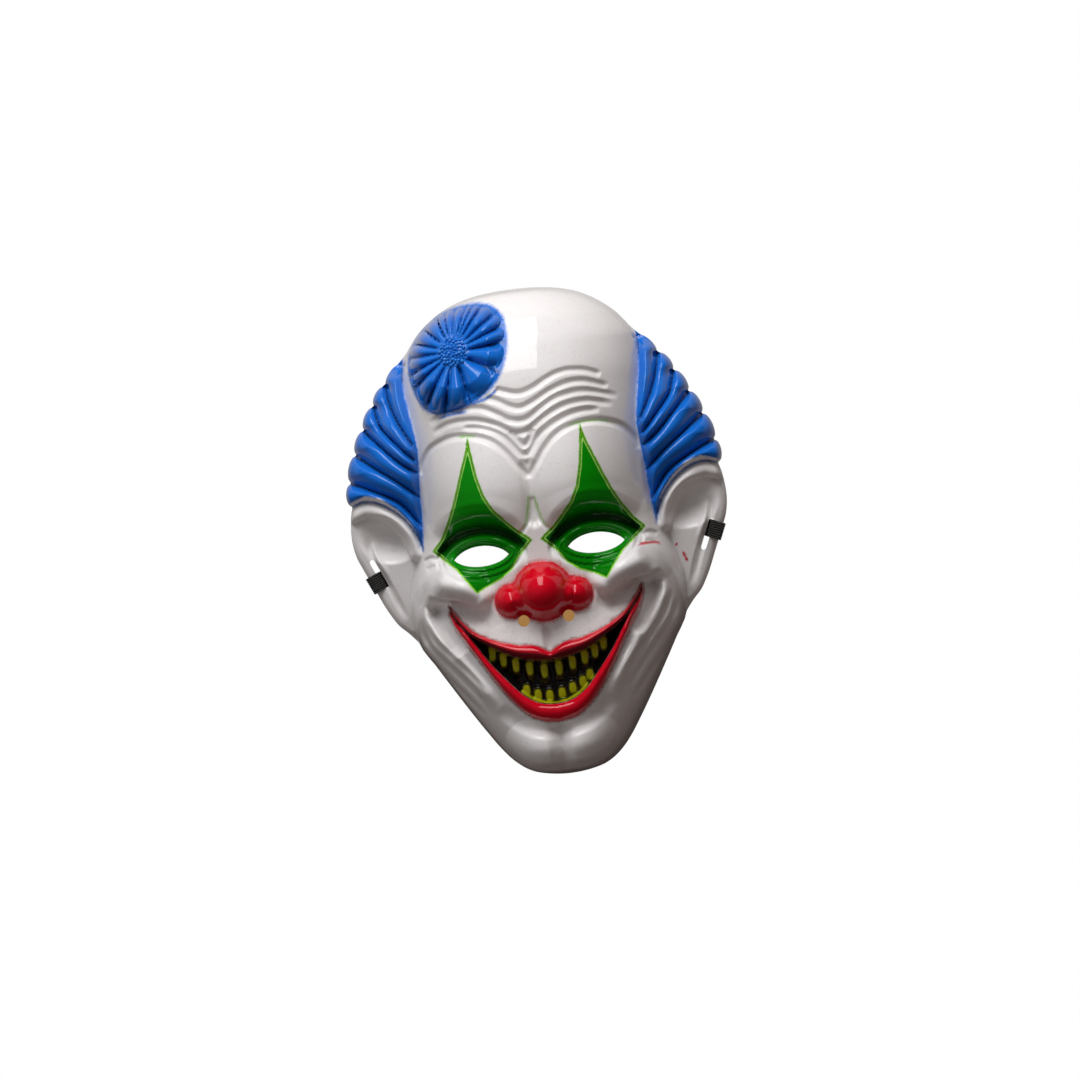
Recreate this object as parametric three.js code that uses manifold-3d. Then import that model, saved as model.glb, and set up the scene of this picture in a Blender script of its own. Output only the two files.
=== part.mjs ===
import * as THREE from 'three';
import { mergeVertices } from 'three/addons/utils/BufferGeometryUtils.js';
import Module from 'manifold-3d';

// Vacuum-formed clown mask, lying face up on its rim: +X its left ear, +Y its crown, +Z out of the face.

// sizes in mm
const maskWidth = 213.5; // over the ears
const maskHeight = 272; // crown to chin
const browRise = 78; // brow line above the rim
const shellWall = 1.2;
const edgeRoll = 3; // radius that the sheet turns down with at its rim
const earLift = 8; // rim of the ears above the rest of the rim

const hairRootRise = 36; // side hair above the rim where it meets the head
const hairReach = 36; // width of the side hair, from the rim to the head
const lockRise = 7; // a lock of hair above the furrows beside it
const earFoot = 2.8; // sheet of the ear above its rim, beside the rim
const helixRise = 6.5; // rolled upper rim of the ear
const helixHalf = 4.8;
const earHollow = 9.5; // depth of the ear's bowl
const furrowDepth = 3; // forehead furrows
const furrowHalf = 3.2;
const browBulge = 8;
const cheekBulge = 8;
const muzzleBulge = 5;
const chinBulge = 6.5;
const socketDepth = 6;
const foldRise = 5; // what the table of folds gives its heights in shares of
const lipRise = 5;
const mouthDepth = 8; // black of the mouth below the lips' root
const mouthWall = 2.6; // run of the slope down into the mouth
const toothRise = 2.6;
const noseReach = 24; // nose tip above the face
const noseBlend = 3.2; // how far its three lobes run together
const rosetteRise = 10; // rosette of hair on the forehead
const rosetteShoulder = 11; // width of its rounded rim
const petalRise = 6;
const petalScallop = 2;
const seedRadius = 8;
const seedSink = 4.5; // the seeds below the petals round them
const formBlend = 2.5; // where two forms meet

const eyeSpacing = 64; // between the middles of the eye holes
const eyeHoleLength = 31;
const eyeHoleHeight = 11.5;
const ventDiameter = 6.4;
const ventSpacing = 25;

const slotLength = 18;
const slotWidth = 3;
const slotInset = 6.6; // slot's centre line in from the ear's edge
const bandWidth = 10;
const bandThickness = 1.2;
const bandGap = 0.35; // between the band and the sheet
const bandBow = 27; // how far the slack band bows towards the crown
const sewnLength = 14;
const sewnEase = 0.1; // the run leaves the sewn stretch this much narrower

const gridCells = 128; // the sheet's grid, a side
const sheetTolerance = 1.7; // between a middling facet and the true form
const facetSpan = 6; // a middling facet
const bandSteps = 48; // sections of the band's free stretch

const halfWidth = maskWidth / 2;
const halfHeight = maskHeight / 2;
const slotPlay = (slotLength - slotWidth - bandWidth) / 2; // the band off the slot's middle

// Tables hold shares: x of halfWidth, y of halfHeight, widths of halfWidth. A place stands for both sides
// of the face unless its table says otherwise.
const eyePlace = -0.072;
const ventPlace = -0.354;
const slotPlace = -0.115;
const lockSwell = 0.03; // how far a lock stands out past its two furrows
const bandFall = 0.16; // share of the run over which the band comes down
const sideSplit = { crown: 0.8, jaw: -0.6 }; // where the sides of the sheet's grid meet on the outline

// the head's own form: half width of each section, and its crest as a share of browRise
const headSections = [
  { y: 1.0, wide: 0.0, crest: 0.0 },
  { y: 0.98, wide: 0.25, crest: 0.33 },
  { y: 0.95, wide: 0.36, crest: 0.47 },
  { y: 0.9, wide: 0.462, crest: 0.61 },
  { y: 0.85, wide: 0.532, crest: 0.7 },
  { y: 0.75, wide: 0.612, crest: 0.82 },
  { y: 0.6, wide: 0.645, crest: 0.92 },
  { y: 0.4, wide: 0.65, crest: 0.97 },
  { y: 0.2, wide: 0.65, crest: 0.97 },
  { y: 0.05, wide: 0.66, crest: 0.94 },
  { y: -0.1, wide: 0.69, crest: 0.91 },
  { y: -0.25, wide: 0.725, crest: 0.9 },
  { y: -0.4, wide: 0.702, crest: 0.89 },
  { y: -0.5, wide: 0.632, crest: 0.885 },
  { y: -0.6, wide: 0.558, crest: 0.88 },
  { y: -0.7, wide: 0.482, crest: 0.865 },
  { y: -0.8, wide: 0.402, crest: 0.855 },
  { y: -0.87, wide: 0.342, crest: 0.835 },
  { y: -0.93, wide: 0.275, crest: 0.76 },
  { y: -0.975, wide: 0.19, crest: 0.54 },
  { y: -1.0, wide: 0.0, crest: 0.0 },
];

// furrows between the locks of side hair, from the outline inwards
const hairFurrows = [
  [[0.613, 0.745], [0.62, 0.69], [0.605, 0.62]],
  [[0.713, 0.662], [0.7, 0.59], [0.66, 0.5], [0.6, 0.41]],
  [[0.785, 0.584], [0.76, 0.5], [0.68, 0.42], [0.6, 0.35]],
  [[0.85, 0.492], [0.78, 0.43], [0.68, 0.35], [0.595, 0.3]],
  [[0.907, 0.397], [0.82, 0.34], [0.7, 0.27], [0.6, 0.2]],
  [[0.953, 0.287], [0.83, 0.24], [0.7, 0.18], [0.61, 0.08]],
  [[0.962, 0.19], [0.894, 0.205], [0.81, 0.19], [0.72, 0.14], [0.65, 0.07], [0.61, -0.01]],
];

// outer edge of the ear, from the last furrow to the jaw
const earEdge = [
  [0.978, 0.14], [0.986, 0.06], [0.974, -0.01], [0.945, -0.07],
  [0.892, -0.165], [0.85, -0.24], [0.8, -0.31], [0.75, -0.352], [0.705, -0.395],
];

// the lips' edges
const mouthEdges = [
  { x: 0.0, lipTop: -0.495, lipUnder: -0.526, lowerInner: -0.703, lowerOuter: -0.776 },
  { x: 0.08, lipTop: -0.468, lipUnder: -0.52, lowerInner: -0.693, lowerOuter: -0.765 },
  { x: 0.16, lipTop: -0.459, lipUnder: -0.503, lowerInner: -0.655, lowerOuter: -0.729 },
  { x: 0.245, lipTop: -0.4425, lipUnder: -0.471, lowerInner: -0.58, lowerOuter: -0.655 },
  { x: 0.32, lipTop: -0.416, lipUnder: -0.435, lowerInner: -0.505, lowerOuter: -0.566 },
  { x: 0.385, lipTop: -0.38, lipUnder: -0.402, lowerInner: -0.424, lowerOuter: -0.48 },
  { x: 0.43, lipTop: -0.337, lipUnder: -0.366, lowerInner: -0.37, lowerOuter: -0.425 },
  { x: 0.475, lipTop: -0.292, lipUnder: -0.32, lowerInner: -0.322, lowerOuter: -0.368 },
  { x: 0.507, lipTop: -0.257, lipUnder: -0.271, lowerInner: -0.272, lowerOuter: -0.298 },
];

// teeth, each by its own place, left and right
const teeth = {
  upper: [
    [-0.3045, -0.471], [-0.25, -0.5], [-0.188, -0.528], [-0.118, -0.548], [-0.044, -0.5645],
    [0.033, -0.5605], [0.1055, -0.544], [0.171, -0.528], [0.226, -0.508], [0.275, -0.48],
  ],
  lower: [
    [-0.148, -0.634], [-0.092, -0.658], [-0.032, -0.666], [0.033, -0.662], [0.091, -0.646],
    [0.147, -0.6255], [0.187, -0.601],
  ],
  wide: 0.029,
  high: 0.054,
};

// creases and rolls: half width, height or depth in shares of foldRise, and half width to the left of the
// line where that differs
const faceLines = [
  {
    name: 'brow arch', half: 0.028, rise: -0.5,
    line: [[0.57, 0.3], [0.55, 0.335], [0.5, 0.385], [0.42, 0.412], [0.34, 0.42], [0.25, 0.41], [0.17, 0.383],
      [0.1, 0.33], [0.05, 0.275], [0.01, 0.235]],
  },
  { name: 'brow cleft', half: 0.057, rise: -0.56, line: [[0, 0.3], [0, 0.16], [0, 0.02]] },
  {
    name: 'upper lid', half: 0.034, rise: 0.8,
    line: [[0.12, -0.06], [0.2, -0.012], [0.31, 0.004], [0.42, -0.012], [0.5, -0.06]],
  },
  {
    name: 'lower lid', half: 0.03, rise: 0.6,
    line: [[0.13, -0.1], [0.21, -0.134], [0.31, -0.148], [0.41, -0.134], [0.48, -0.1]],
  },
  {
    name: 'cheek roll', half: 0.104, rise: 1.4,
    line: [[0.56, -0.15], [0.47, -0.18], [0.37, -0.22], [0.27, -0.27]],
  },
  {
    name: 'muzzle step', half: 0.034, below: 0.13, rise: -1.6,
    line: [[0.62, -0.215], [0.57, -0.238], [0.52, -0.246], [0.46, -0.258], [0.4, -0.278], [0.34, -0.287],
      [0.27, -0.275]],
  },
  {
    name: 'corner pocket', half: 0.057, rise: -0.9,
    line: [[0.545, -0.24], [0.55, -0.3], [0.51, -0.37], [0.45, -0.46]],
  },
  { name: 'philtrum', half: 0.038, rise: -0.5, line: [[0, -0.37], [0, -0.49]] },
  {
    name: 'smile roll', half: 0.052, rise: 0.9,
    line: [[0.55, -0.195], [0.592, -0.24], [0.608, -0.293], [0.582, -0.345], [0.527, -0.407], [0.472, -0.468],
      [0.418, -0.534], [0.357, -0.6], [0.315, -0.655], [0.283, -0.72]],
  },
  {
    name: 'inner jaw fold', half: 0.028, rise: -0.48,
    line: [[0.645, -0.29], [0.598, -0.39], [0.514, -0.472], [0.439, -0.54], [0.351, -0.635]],
  },
  {
    name: 'middle jaw fold', half: 0.028, rise: -0.42,
    line: [[0.673, -0.333], [0.634, -0.413], [0.552, -0.497], [0.465, -0.578], [0.365, -0.68]],
  },
  {
    name: 'outer jaw fold', half: 0.028, rise: -0.42,
    line: [[0.713, -0.354], [0.666, -0.449], [0.577, -0.541], [0.479, -0.63], [0.367, -0.74]],
  },
  { name: 'chin dimple', half: 0.043, rise: -0.8, line: [[0, -0.8], [0, -0.87], [0, -0.95]] },
  {
    name: 'chin crease', half: 0.038, rise: -0.5,
    line: [[0.3, -0.87], [0.24, -0.925], [0.13, -0.958], [0.03, -0.965]],
  },
  {
    name: 'lip shelf', half: 0.057, rise: -0.56,
    line: [[0.3, -0.69], [0.2, -0.765], [0.1, -0.8], [0, -0.81]],
  },
  {
    name: 'upper crow foot', half: 0.022, rise: -0.3,
    line: [[0.49, -0.08], [0.55, -0.053], [0.6, -0.064], [0.645, -0.085]],
  },
  {
    name: 'lower crow foot', half: 0.022, rise: -0.26,
    line: [[0.475, -0.095], [0.553, -0.085], [0.613, -0.108]],
  },
];

// forehead furrows from the left to the right, top to bottom
const foreheadFurrows = [
  [[-0.2, 0.603], [-0.133, 0.595], [-0.029, 0.568], [0.015, 0.566], [0.077, 0.581], [0.135, 0.605],
    [0.193, 0.625], [0.248, 0.634], [0.303, 0.633], [0.361, 0.624], [0.43, 0.6]],
  [[-0.3, 0.56], [-0.219, 0.565], [-0.165, 0.562], [-0.063, 0.52], [-0.011, 0.506], [0.034, 0.513],
    [0.091, 0.533], [0.149, 0.557], [0.206, 0.575], [0.263, 0.586], [0.328, 0.586], [0.391, 0.572],
    [0.46, 0.55]],
  [[-0.49, 0.485], [-0.423, 0.512], [-0.35, 0.525], [-0.271, 0.527], [-0.2, 0.521], [-0.122, 0.49],
    [-0.072, 0.465], [-0.019, 0.454], [0.025, 0.458], [0.071, 0.477], [0.131, 0.508], [0.188, 0.53],
    [0.256, 0.542], [0.321, 0.545], [0.401, 0.533], [0.505, 0.505]],
  [[-0.48, 0.443], [-0.393, 0.474], [-0.304, 0.48], [-0.225, 0.473], [-0.13, 0.445], [-0.064, 0.413],
    [-0.02, 0.404], [0.02, 0.409], [0.064, 0.429], [0.111, 0.454], [0.169, 0.478], [0.232, 0.496],
    [0.304, 0.504], [0.475, 0.476]],
  [[-0.32, 0.453], [-0.24, 0.446], [-0.17, 0.428], [-0.12, 0.405], [-0.08, 0.375], [-0.031, 0.325],
    [-0.001, 0.315], [0.028, 0.33], [0.067, 0.378], [0.115, 0.409], [0.185, 0.439], [0.253, 0.458],
    [0.325, 0.466], [0.405, 0.461]],
];

// domes raised on the face and dents in it: middle, radii, height
const faceDomes = [
  { name: 'brow', x: 0.285, y: 0.19, rx: 0.313, ry: 0.332, rise: browBulge, power: 1.1 },
  { name: 'cheek', x: 0.49, y: -0.165, rx: 0.19, ry: 0.123, rise: cheekBulge, power: 0.9 },
  { name: 'muzzle', x: 0, y: -0.56, rx: 0.436, ry: 0.322, rise: muzzleBulge, power: 1 },
  { name: 'chin', x: 0.142, y: -0.882, rx: 0.156, ry: 0.156, rise: chinBulge, power: 0.9 },
  { name: 'socket', x: 0.31, y: -0.03, rx: 0.256, ry: 0.19, rise: -socketDepth, power: 1.2 },
  { name: 'under brow', x: 0.32, y: 0.05, rx: 0.218, ry: 0.085, rise: -1.5 * socketDepth, power: 1.2 },
];

const noseLobes = [
  { name: 'bulb', x: 0, y: -0.243, radius: 0.163 },
  { name: 'wing', x: 0.166, y: -0.268, radius: 0.097 },
];
const noseFoot = 0.81; // height its lobes start from, share of browRise

const earBowl = { x: 0.8, y: 0.025, rx: 0.123, ry: 0.118 };
const earLines = [
  {
    name: 'strip groove', half: 0.028, rise: -0.48,
    line: [[0.9, 0.12], [0.905, 0.04], [0.885, -0.03], [0.85, -0.095], [0.81, -0.165], [0.775, -0.24],
      [0.745, -0.3]],
  },
  { name: 'tragus', half: 0.047, rise: 0.32, line: [[0.665, -0.02], [0.69, -0.07], [0.7, -0.11]] },
];

// rosette of hair, on one side only: its outline, and the furrows between its petals in degrees
const rosette = {
  x: -0.317,
  y: 0.764,
  lean: [-0.12, 0.2], // it stands higher off the head towards its upper left
  outline: [
    [-0.575, 0.7], [-0.565, 0.78], [-0.51, 0.855], [-0.43, 0.91], [-0.33, 0.938], [-0.21, 0.945],
    [-0.12, 0.93], [-0.06, 0.88], [-0.045, 0.8], [-0.07, 0.7], [-0.12, 0.63], [-0.2, 0.575], [-0.3, 0.54], [-0.42, 0.525],
    [-0.5, 0.55], [-0.55, 0.62], [-0.575, 0.7],
  ],
  furrows: [-30, 5, 22, 37, 54, 63, 70, 85, 100, 112, 137, 161, 180, 200, 214, 236, 255, 283],
};

const smoothstep = (low, high, v) => {
  const t = THREE.MathUtils.clamp((v - low) / (high - low), 0, 1);
  return t * t * (3 - 2 * t);
};
const higher = (a, b, blend) => {
  const t = THREE.MathUtils.clamp(0.5 + (0.5 * (a - b)) / blend, 0, 1);
  return b * (1 - t) + a * t + blend * t * (1 - t);
};
const dome = (r, power = 0.5) => Math.max(0, 1 - r * r) ** power;
const bell = (r) => (Math.abs(r) < 1 ? 0.5 + 0.5 * Math.cos(Math.PI * r) : 0);

// a column of a table read at any place, without overshoot
function columnReader(rows, key, column) {
  const sign = Math.sign(rows.at(-1)[key] - rows[0][key]);
  const gap = (i) => rows[i + 1][key] - rows[i][key];
  const slope = (i) => (rows[i + 1][column] - rows[i][column]) / gap(i);
  const tangent = rows.map((row, i) => {
    if (i === 0) return slope(0);
    if (i === rows.length - 1) return slope(i - 1);
    const [before, after] = [slope(i - 1), slope(i)];
    return before * after <= 0 ? 0 : (2 * before * after) / (before + after);
  });
  return (place) => {
    let i = 0;
    while (i < rows.length - 2 && (place - rows[i + 1][key]) * sign > 0) i++;
    const t = THREE.MathUtils.clamp((place - rows[i][key]) / gap(i), 0, 1);
    const rest = 1 - t;
    return rest * rest * (1 + 2 * t) * rows[i][column]
      + t * t * (3 - 2 * t) * rows[i + 1][column]
      + t * rest * gap(i) * (rest * tangent[i] - t * tangent[i + 1]);
  };
}

// a smooth curve through points given in shares, in mm
const curveThrough = (points, steps = 5) =>
  new THREE.SplineCurve(points.map(([x, y]) => new THREE.Vector2(x * halfWidth, y * halfHeight)))
    .getPoints((points.length - 1) * steps);

// gap to a line, share along it, and side of it, +1 on the left
function distanceTo(line, x, y) {
  let best = { gap: Infinity, share: 0, side: 1 };
  for (let i = 0; i + 1 < line.length; i++) {
    const a = line[i];
    const ex = line[i + 1].x - a.x;
    const ey = line[i + 1].y - a.y;
    const t = THREE.MathUtils.clamp(((x - a.x) * ex + (y - a.y) * ey) / (ex * ex + ey * ey), 0, 1);
    const dx = x - a.x - t * ex;
    const dy = y - a.y - t * ey;
    const gap = dx * dx + dy * dy;
    if (gap < best.gap) {
      best = { gap, share: (i + t) / (line.length - 1), side: Math.sign(ex * dy - ey * dx) || 1 };
    }
  }
  best.gap = Math.sqrt(best.gap);
  return best;
}

// outline of the mask, right half from the crown down to the chin
const sectionWide = columnReader(headSections.map((s) => ({ y: s.y, wide: s.wide ** 2 })), 'y', 'wide');
const headWide = (y) => Math.sqrt(Math.max(0, sectionWide(y)));
const headCrest = columnReader(headSections, 'y', 'crest');

function lockOutline(from, to) {
  const along = new THREE.Vector2(to[0] - from[0], to[1] - from[1]);
  const steps = 7;
  return Array.from({ length: steps }, (_, k) => {
    const t = k / steps;
    const swell = lockSwell * dome(2 * t - 1);
    const out = new THREE.Vector2(-along.y, along.x).normalize().multiplyScalar(swell);
    return [from[0] + along.x * t + out.x, from[1] + along.y * t + out.y];
  });
}

function rightOutline() {
  const crown = [];
  const crownSteps = 16;
  for (let k = 0; k < crownSteps; k++) {
    const y = 1 - (1 - hairFurrows[0][0][1]) * (k / crownSteps) ** 2;
    crown.push([headWide(y), y]);
  }
  const hair = hairFurrows.slice(1).flatMap((furrow, i) => lockOutline(hairFurrows[i][0], furrow[0]));
  const earPlaces = [hairFurrows.at(-1)[0], ...earEdge].map(([x, y]) => new THREE.Vector2(x, y));
  const ear = new THREE.SplineCurve(earPlaces)
    .getPoints(earEdge.length * 4).map((p) => [p.x, p.y]);
  const jaw = [];
  const jawSteps = 26;
  const jawTop = earEdge.at(-1)[1];
  for (let k = 1; k <= jawSteps; k++) {
    const y = jawTop - (1 + jawTop) * (1 - (1 - k / jawSteps) ** 2);
    jaw.push([headWide(y), y]);
  }
  const shares = [...crown, ...hair, ...ear, ...jaw];
  return shares.map(([x, y]) => new THREE.Vector2(x * halfWidth, y * halfHeight));
}
const outline = rightOutline();

// the form of the face above the rim plane
const rimHeight = (x) => earLift * smoothstep(0.62, 0.86, Math.abs(x) / halfWidth);
const withCurve = (l) => ({ ...l, curve: curveThrough(l.line) });
const furrowCurves = hairFurrows.map((points) => curveThrough(points));
const foreheadCurves = foreheadFurrows.map((points) => curveThrough(points, 3));
const faceCurves = faceLines.map(withCurve);
const earCurves = earLines.map(withCurve);
const rosetteCurve = curveThrough(rosette.outline, 3);
const lipEdges = ['lipTop', 'lipUnder', 'lowerInner', 'lowerOuter']
  .map((column) => columnReader(mouthEdges, 'x', column));

function headForm(x, y) {
  const jaw = smoothstep(0.1, -0.5, y / halfHeight); // boxier than the forehead
  const across = Math.abs(x) / (headWide(y / halfHeight) * halfWidth || 1);
  const rest = Math.max(0, 1 - across ** (2.3 + 0.6 * jaw));
  return browRise * headCrest(y / halfHeight) * rest ** (0.56 - 0.06 * jaw);
}

const ellipseAt = (d, x, y) =>
  Math.hypot((x / halfWidth - d.x) / d.rx, (y - d.y * halfHeight) / (d.ry * halfWidth));

// folds run out to nothing at both ends
const taper = (share, ends) => smoothstep(0, ends, share) * smoothstep(1, 1 - ends, share);

function foldsAt(curves, x, y) {
  let total = 0;
  for (const { curve, half, below = half, rise } of curves) {
    const { gap, share, side } = distanceTo(curve, x, y);
    total += foldRise * rise * bell(gap / ((side > 0 ? below : half) * halfWidth)) * taper(share, 0.2);
  }
  return total;
}

// the locks of side hair, 0 in the furrows and 1 on a lock's crest
function lockCrest(x, y) {
  const gaps = furrowCurves.map((curve) => distanceTo(curve, x, y));
  for (let i = 0; i + 1 < gaps.length; i++) {
    if (gaps[i].side < 0 || gaps[i + 1].side > 0) continue;
    const t = gaps[i].gap / (gaps[i].gap + gaps[i + 1].gap);
    return dome(2 * t - 1, 0.8);
  }
  return 0;
}

// side hair and ear, a flange that rises from the rim to the head
function flangeForm(x, y, fromEdge) {
  const [top, foot] = [hairFurrows[0][0][1] * halfHeight, earEdge.at(-1)[1] * halfHeight];
  const fromFoot = smoothstep(foot - edgeRoll, foot + 2 * edgeRoll, y);
  const window = smoothstep(top, top - hairReach / 4, y) * fromFoot;
  const base = (rimHeight(x) + earFoot + 0.55 * fromEdge) * window;
  const { gap, side } = distanceTo(furrowCurves.at(-1), x, y);
  const climb = 1 - (1 - Math.min(1, fromEdge / hairReach)) ** 2;
  const nearEar = side < 0 ? smoothstep(hairReach / 2, 0, gap) : 0;
  const root = THREE.MathUtils.lerp(rimHeight(x) + 0.8 * hairReach * climb, base + earFoot, nearEar);
  const locks = (Math.min(root, hairRootRise) + lockRise * lockCrest(x, y)) * window;
  const inEar = smoothstep(-shellWall, shellWall, gap * side);
  return THREE.MathUtils.lerp(locks, base + earRelief(x, y, gap), inEar);
}

// rolled upper rim of the ear, its bowl, and the groove along its outer strip
function earRelief(x, y, fromHair) {
  const helix = helixRise * dome((fromHair - helixHalf) / helixHalf, 0.7);
  const inHelix = smoothstep(0.6 * helixHalf, 1.7 * helixHalf, fromHair);
  const bowl = earHollow * dome(ellipseAt(earBowl, x, y), 1) * inHelix;
  return helix - bowl + foldsAt(earCurves, x, y);
}

// mm inside the nose's three lobes, run together
function noseDepth(x, y) {
  const inLobe = ({ x: lobeX, y: lobeY, radius }) =>
    radius * halfWidth - Math.hypot(x - lobeX * halfWidth, y - lobeY * halfHeight);
  return higher(...noseLobes.map(inLobe), noseBlend);
}

function noseForm(x, y) {
  const depth = noseDepth(x, y);
  if (depth <= 0) return 0;
  const [bulb] = noseLobes;
  const full = bulb.radius * halfWidth;
  const fromTip = Math.hypot(x - bulb.x * halfWidth, y - bulb.y * halfHeight) / full;
  const lobe = full * dome(1 - Math.min(1, depth / full));
  return noseFoot * browRise + lobe + (noseReach + mouthWall - full) * dome(fromTip, 0.9);
}

function mouthForm(px, y) {
  const [sx, sy] = [Math.abs(px) / halfWidth, y / halfHeight];
  if (sx > mouthEdges.at(-1).x || sy > mouthEdges.at(-1).lipTop) return 0;
  const [top, under, inner, outer] = lipEdges.map((read) => read(sx));
  if (sy > top || sy < outer) return 0;
  if (sy > under) return lipRise * 0.8 * dome((2 * (sy - under)) / (top - under) - 1, 0.6);
  if (sy < inner) return lipRise * dome((2 * (sy - outer)) / (inner - outer) - 1, 0.55);
  const wall = smoothstep(0, mouthWall, Math.min(under - sy, sy - inner) * halfHeight);
  return (teethForm(px, y) - mouthDepth) * wall;
}

// the teeth off the black of the mouth
function teethForm(px, y) {
  const { wide, high } = teeth;
  return Math.max(...[...teeth.upper, ...teeth.lower].map(([x, place]) =>
    2 * toothRise * dome(ellipseAt({ x, y: place, rx: wide, ry: high }, px, y), 0.7)));
}

// a place among the petals: -1 to 1 across its petal, the petal's angle, and mm from the seeds' middle
function petalAt(dx, dy) {
  const [first] = rosette.furrows;
  const marks = [...rosette.furrows, first + 360];
  const turned = THREE.MathUtils.radToDeg(Math.atan2(dy, dx)) - first;
  const angle = THREE.MathUtils.euclideanModulo(turned, 360) + first;
  const i = Math.max(0, marks.findIndex((mark) => mark > angle) - 1);
  const width = marks[i + 1] - marks[i];
  return { across: (2 * (angle - marks[i])) / width - 1, width, fromSeeds: Math.hypot(dx, dy) };
}

function rosetteForm(px, y) {
  const [dx, dy] = [px - rosette.x * halfWidth, y - rosette.y * halfHeight];
  const { gap, side } = distanceTo(rosetteCurve, px, y);
  if (side > 0) return 0;
  const { across, width, fromSeeds } = petalAt(dx, dy);
  const crest = dome(across, 0.8);
  const edge = Math.max(0, gap - petalScallop * (1 - crest));
  const round = 1 - (1 - Math.min(1, edge / rosetteShoulder)) ** 2;
  const body = (rosetteRise + rosette.lean[0] * dx + rosette.lean[1] * dy) * round ** 0.6;
  const outside = smoothstep(0.8 * seedRadius, 1.4 * seedRadius, fromSeeds);
  const spread = 0.65 * THREE.MathUtils.degToRad(width) * fromSeeds;
  const petal = Math.min(petalRise, spread) * (crest - 1) * outside * smoothstep(0, edgeRoll, edge);
  const seat = seedSink * dome(fromSeeds / (1.75 * seedRadius), 1) * (0.4 + 0.6 * outside);
  return Math.max(0, body + petal - seat * round);
}

function faceHeight(px, y) {
  const x = Math.abs(px);
  const fromEdge = distanceTo(outline, x, y).gap;
  const head = headForm(x, y);
  const inner = smoothstep(0.08 * browRise, 0.28 * browRise, head);
  let face = head + foldsAt(faceCurves, x, y);
  for (const d of faceDomes) face += d.rise * dome(ellipseAt(d, x, y), d.power) * inner;
  for (const curve of foreheadCurves) {
    const { gap, share } = distanceTo(curve, px, y);
    face -= furrowDepth * bell(gap / furrowHalf) * taper(share, 0.05);
  }
  face += mouthForm(px, y);
  face = higher(face, noseForm(x, y), formBlend);
  face += rosetteForm(px, y);
  const all = higher(face, flangeForm(x, y, fromEdge), formBlend);
  const roll = fromEdge < edgeRoll ? dome(1 - fromEdge / edgeRoll) : 1;
  return rimHeight(x) + Math.max(0, all - rimHeight(x)) * roll;
}

// The sheet is laid out on a square grid whose four sides follow the outline.
const mirroredLine = (line) => line.map((p) => new THREE.Vector2(-p.x, p.y));
const lengthAlong = (line) => {
  const lengths = [0];
  for (let i = 1; i < line.length; i++) lengths.push(lengths[i - 1] + line[i].distanceTo(line[i - 1]));
  return lengths;
};
function pointAlong(line, lengths, share) {
  const target = share * lengths.at(-1);
  let i = 0;
  while (i < line.length - 2 && lengths[i + 1] < target) i++;
  return line[i].clone().lerp(line[i + 1], (target - lengths[i]) / (lengths[i + 1] - lengths[i]));
}

function outlineSides() {
  const upper = outline.findIndex((p) => p.y < sideSplit.crown * halfHeight);
  const lower = outline.findIndex((p) => p.y < sideSplit.jaw * halfHeight);
  const crown = outline.slice(0, upper + 1);
  const side = outline.slice(upper, lower + 1);
  const jaw = outline.slice(lower);
  const right = side.toReversed();
  const sides = {
    top: [...mirroredLine(crown).toReversed(), ...crown.slice(1)],
    right,
    bottom: [...mirroredLine(jaw), ...jaw.toReversed().slice(1)],
    left: mirroredLine(right),
  };
  return Object.fromEntries(Object.entries(sides).map(([name, line]) => {
    const lengths = lengthAlong(line);
    return [name, (share) => pointAlong(line, lengths, share)];
  }));
}

function layOutGrid() {
  const side = outlineSides();
  const corner = [[side.bottom(0), side.bottom(1)], [side.top(0), side.top(1)]];
  const grid = [];
  for (let j = 0; j <= gridCells; j++) {
    for (let i = 0; i <= gridCells; i++) {
      const [u, v] = [i / gridCells, j / gridCells];
      const p = new THREE.Vector2()
        .addScaledVector(side.bottom(u), 1 - v).addScaledVector(side.top(u), v)
        .addScaledVector(side.left(v), 1 - u).addScaledVector(side.right(v), u)
        .addScaledVector(corner[0][0], -(1 - u) * (1 - v)).addScaledVector(corner[0][1], -u * (1 - v))
        .addScaledVector(corner[1][0], -(1 - u) * v).addScaledVector(corner[1][1], -u * v);
      const rim = i === 0 || j === 0 || i === gridCells || j === gridCells;
      grid.push({ at: new THREE.Vector3(p.x, p.y, rim ? rimHeight(p.x) : faceHeight(p.x, p.y)), rim });
    }
  }
  return grid;
}

const gridIndex = (i, j) => j * (gridCells + 1) + i;

function gridNormal(grid, i, j) {
  const near = (a, b) => grid[gridIndex(
    THREE.MathUtils.clamp(a, 0, gridCells), THREE.MathUtils.clamp(b, 0, gridCells))].at;
  const across = near(i + 1, j).clone().sub(near(i - 1, j));
  const up = near(i, j + 1).clone().sub(near(i, j - 1));
  return across.cross(up).normalize();
}

// Right triangles are halved at the middle of their longest side, and only where the form needs it.
const halfway = (a, b) => [(a[0] + b[0]) / 2, (a[1] + b[1]) / 2];
const halves = ([a, b, c]) => [[c, a, halfway(a, b)], [b, c, halfway(a, b)]];

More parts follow.
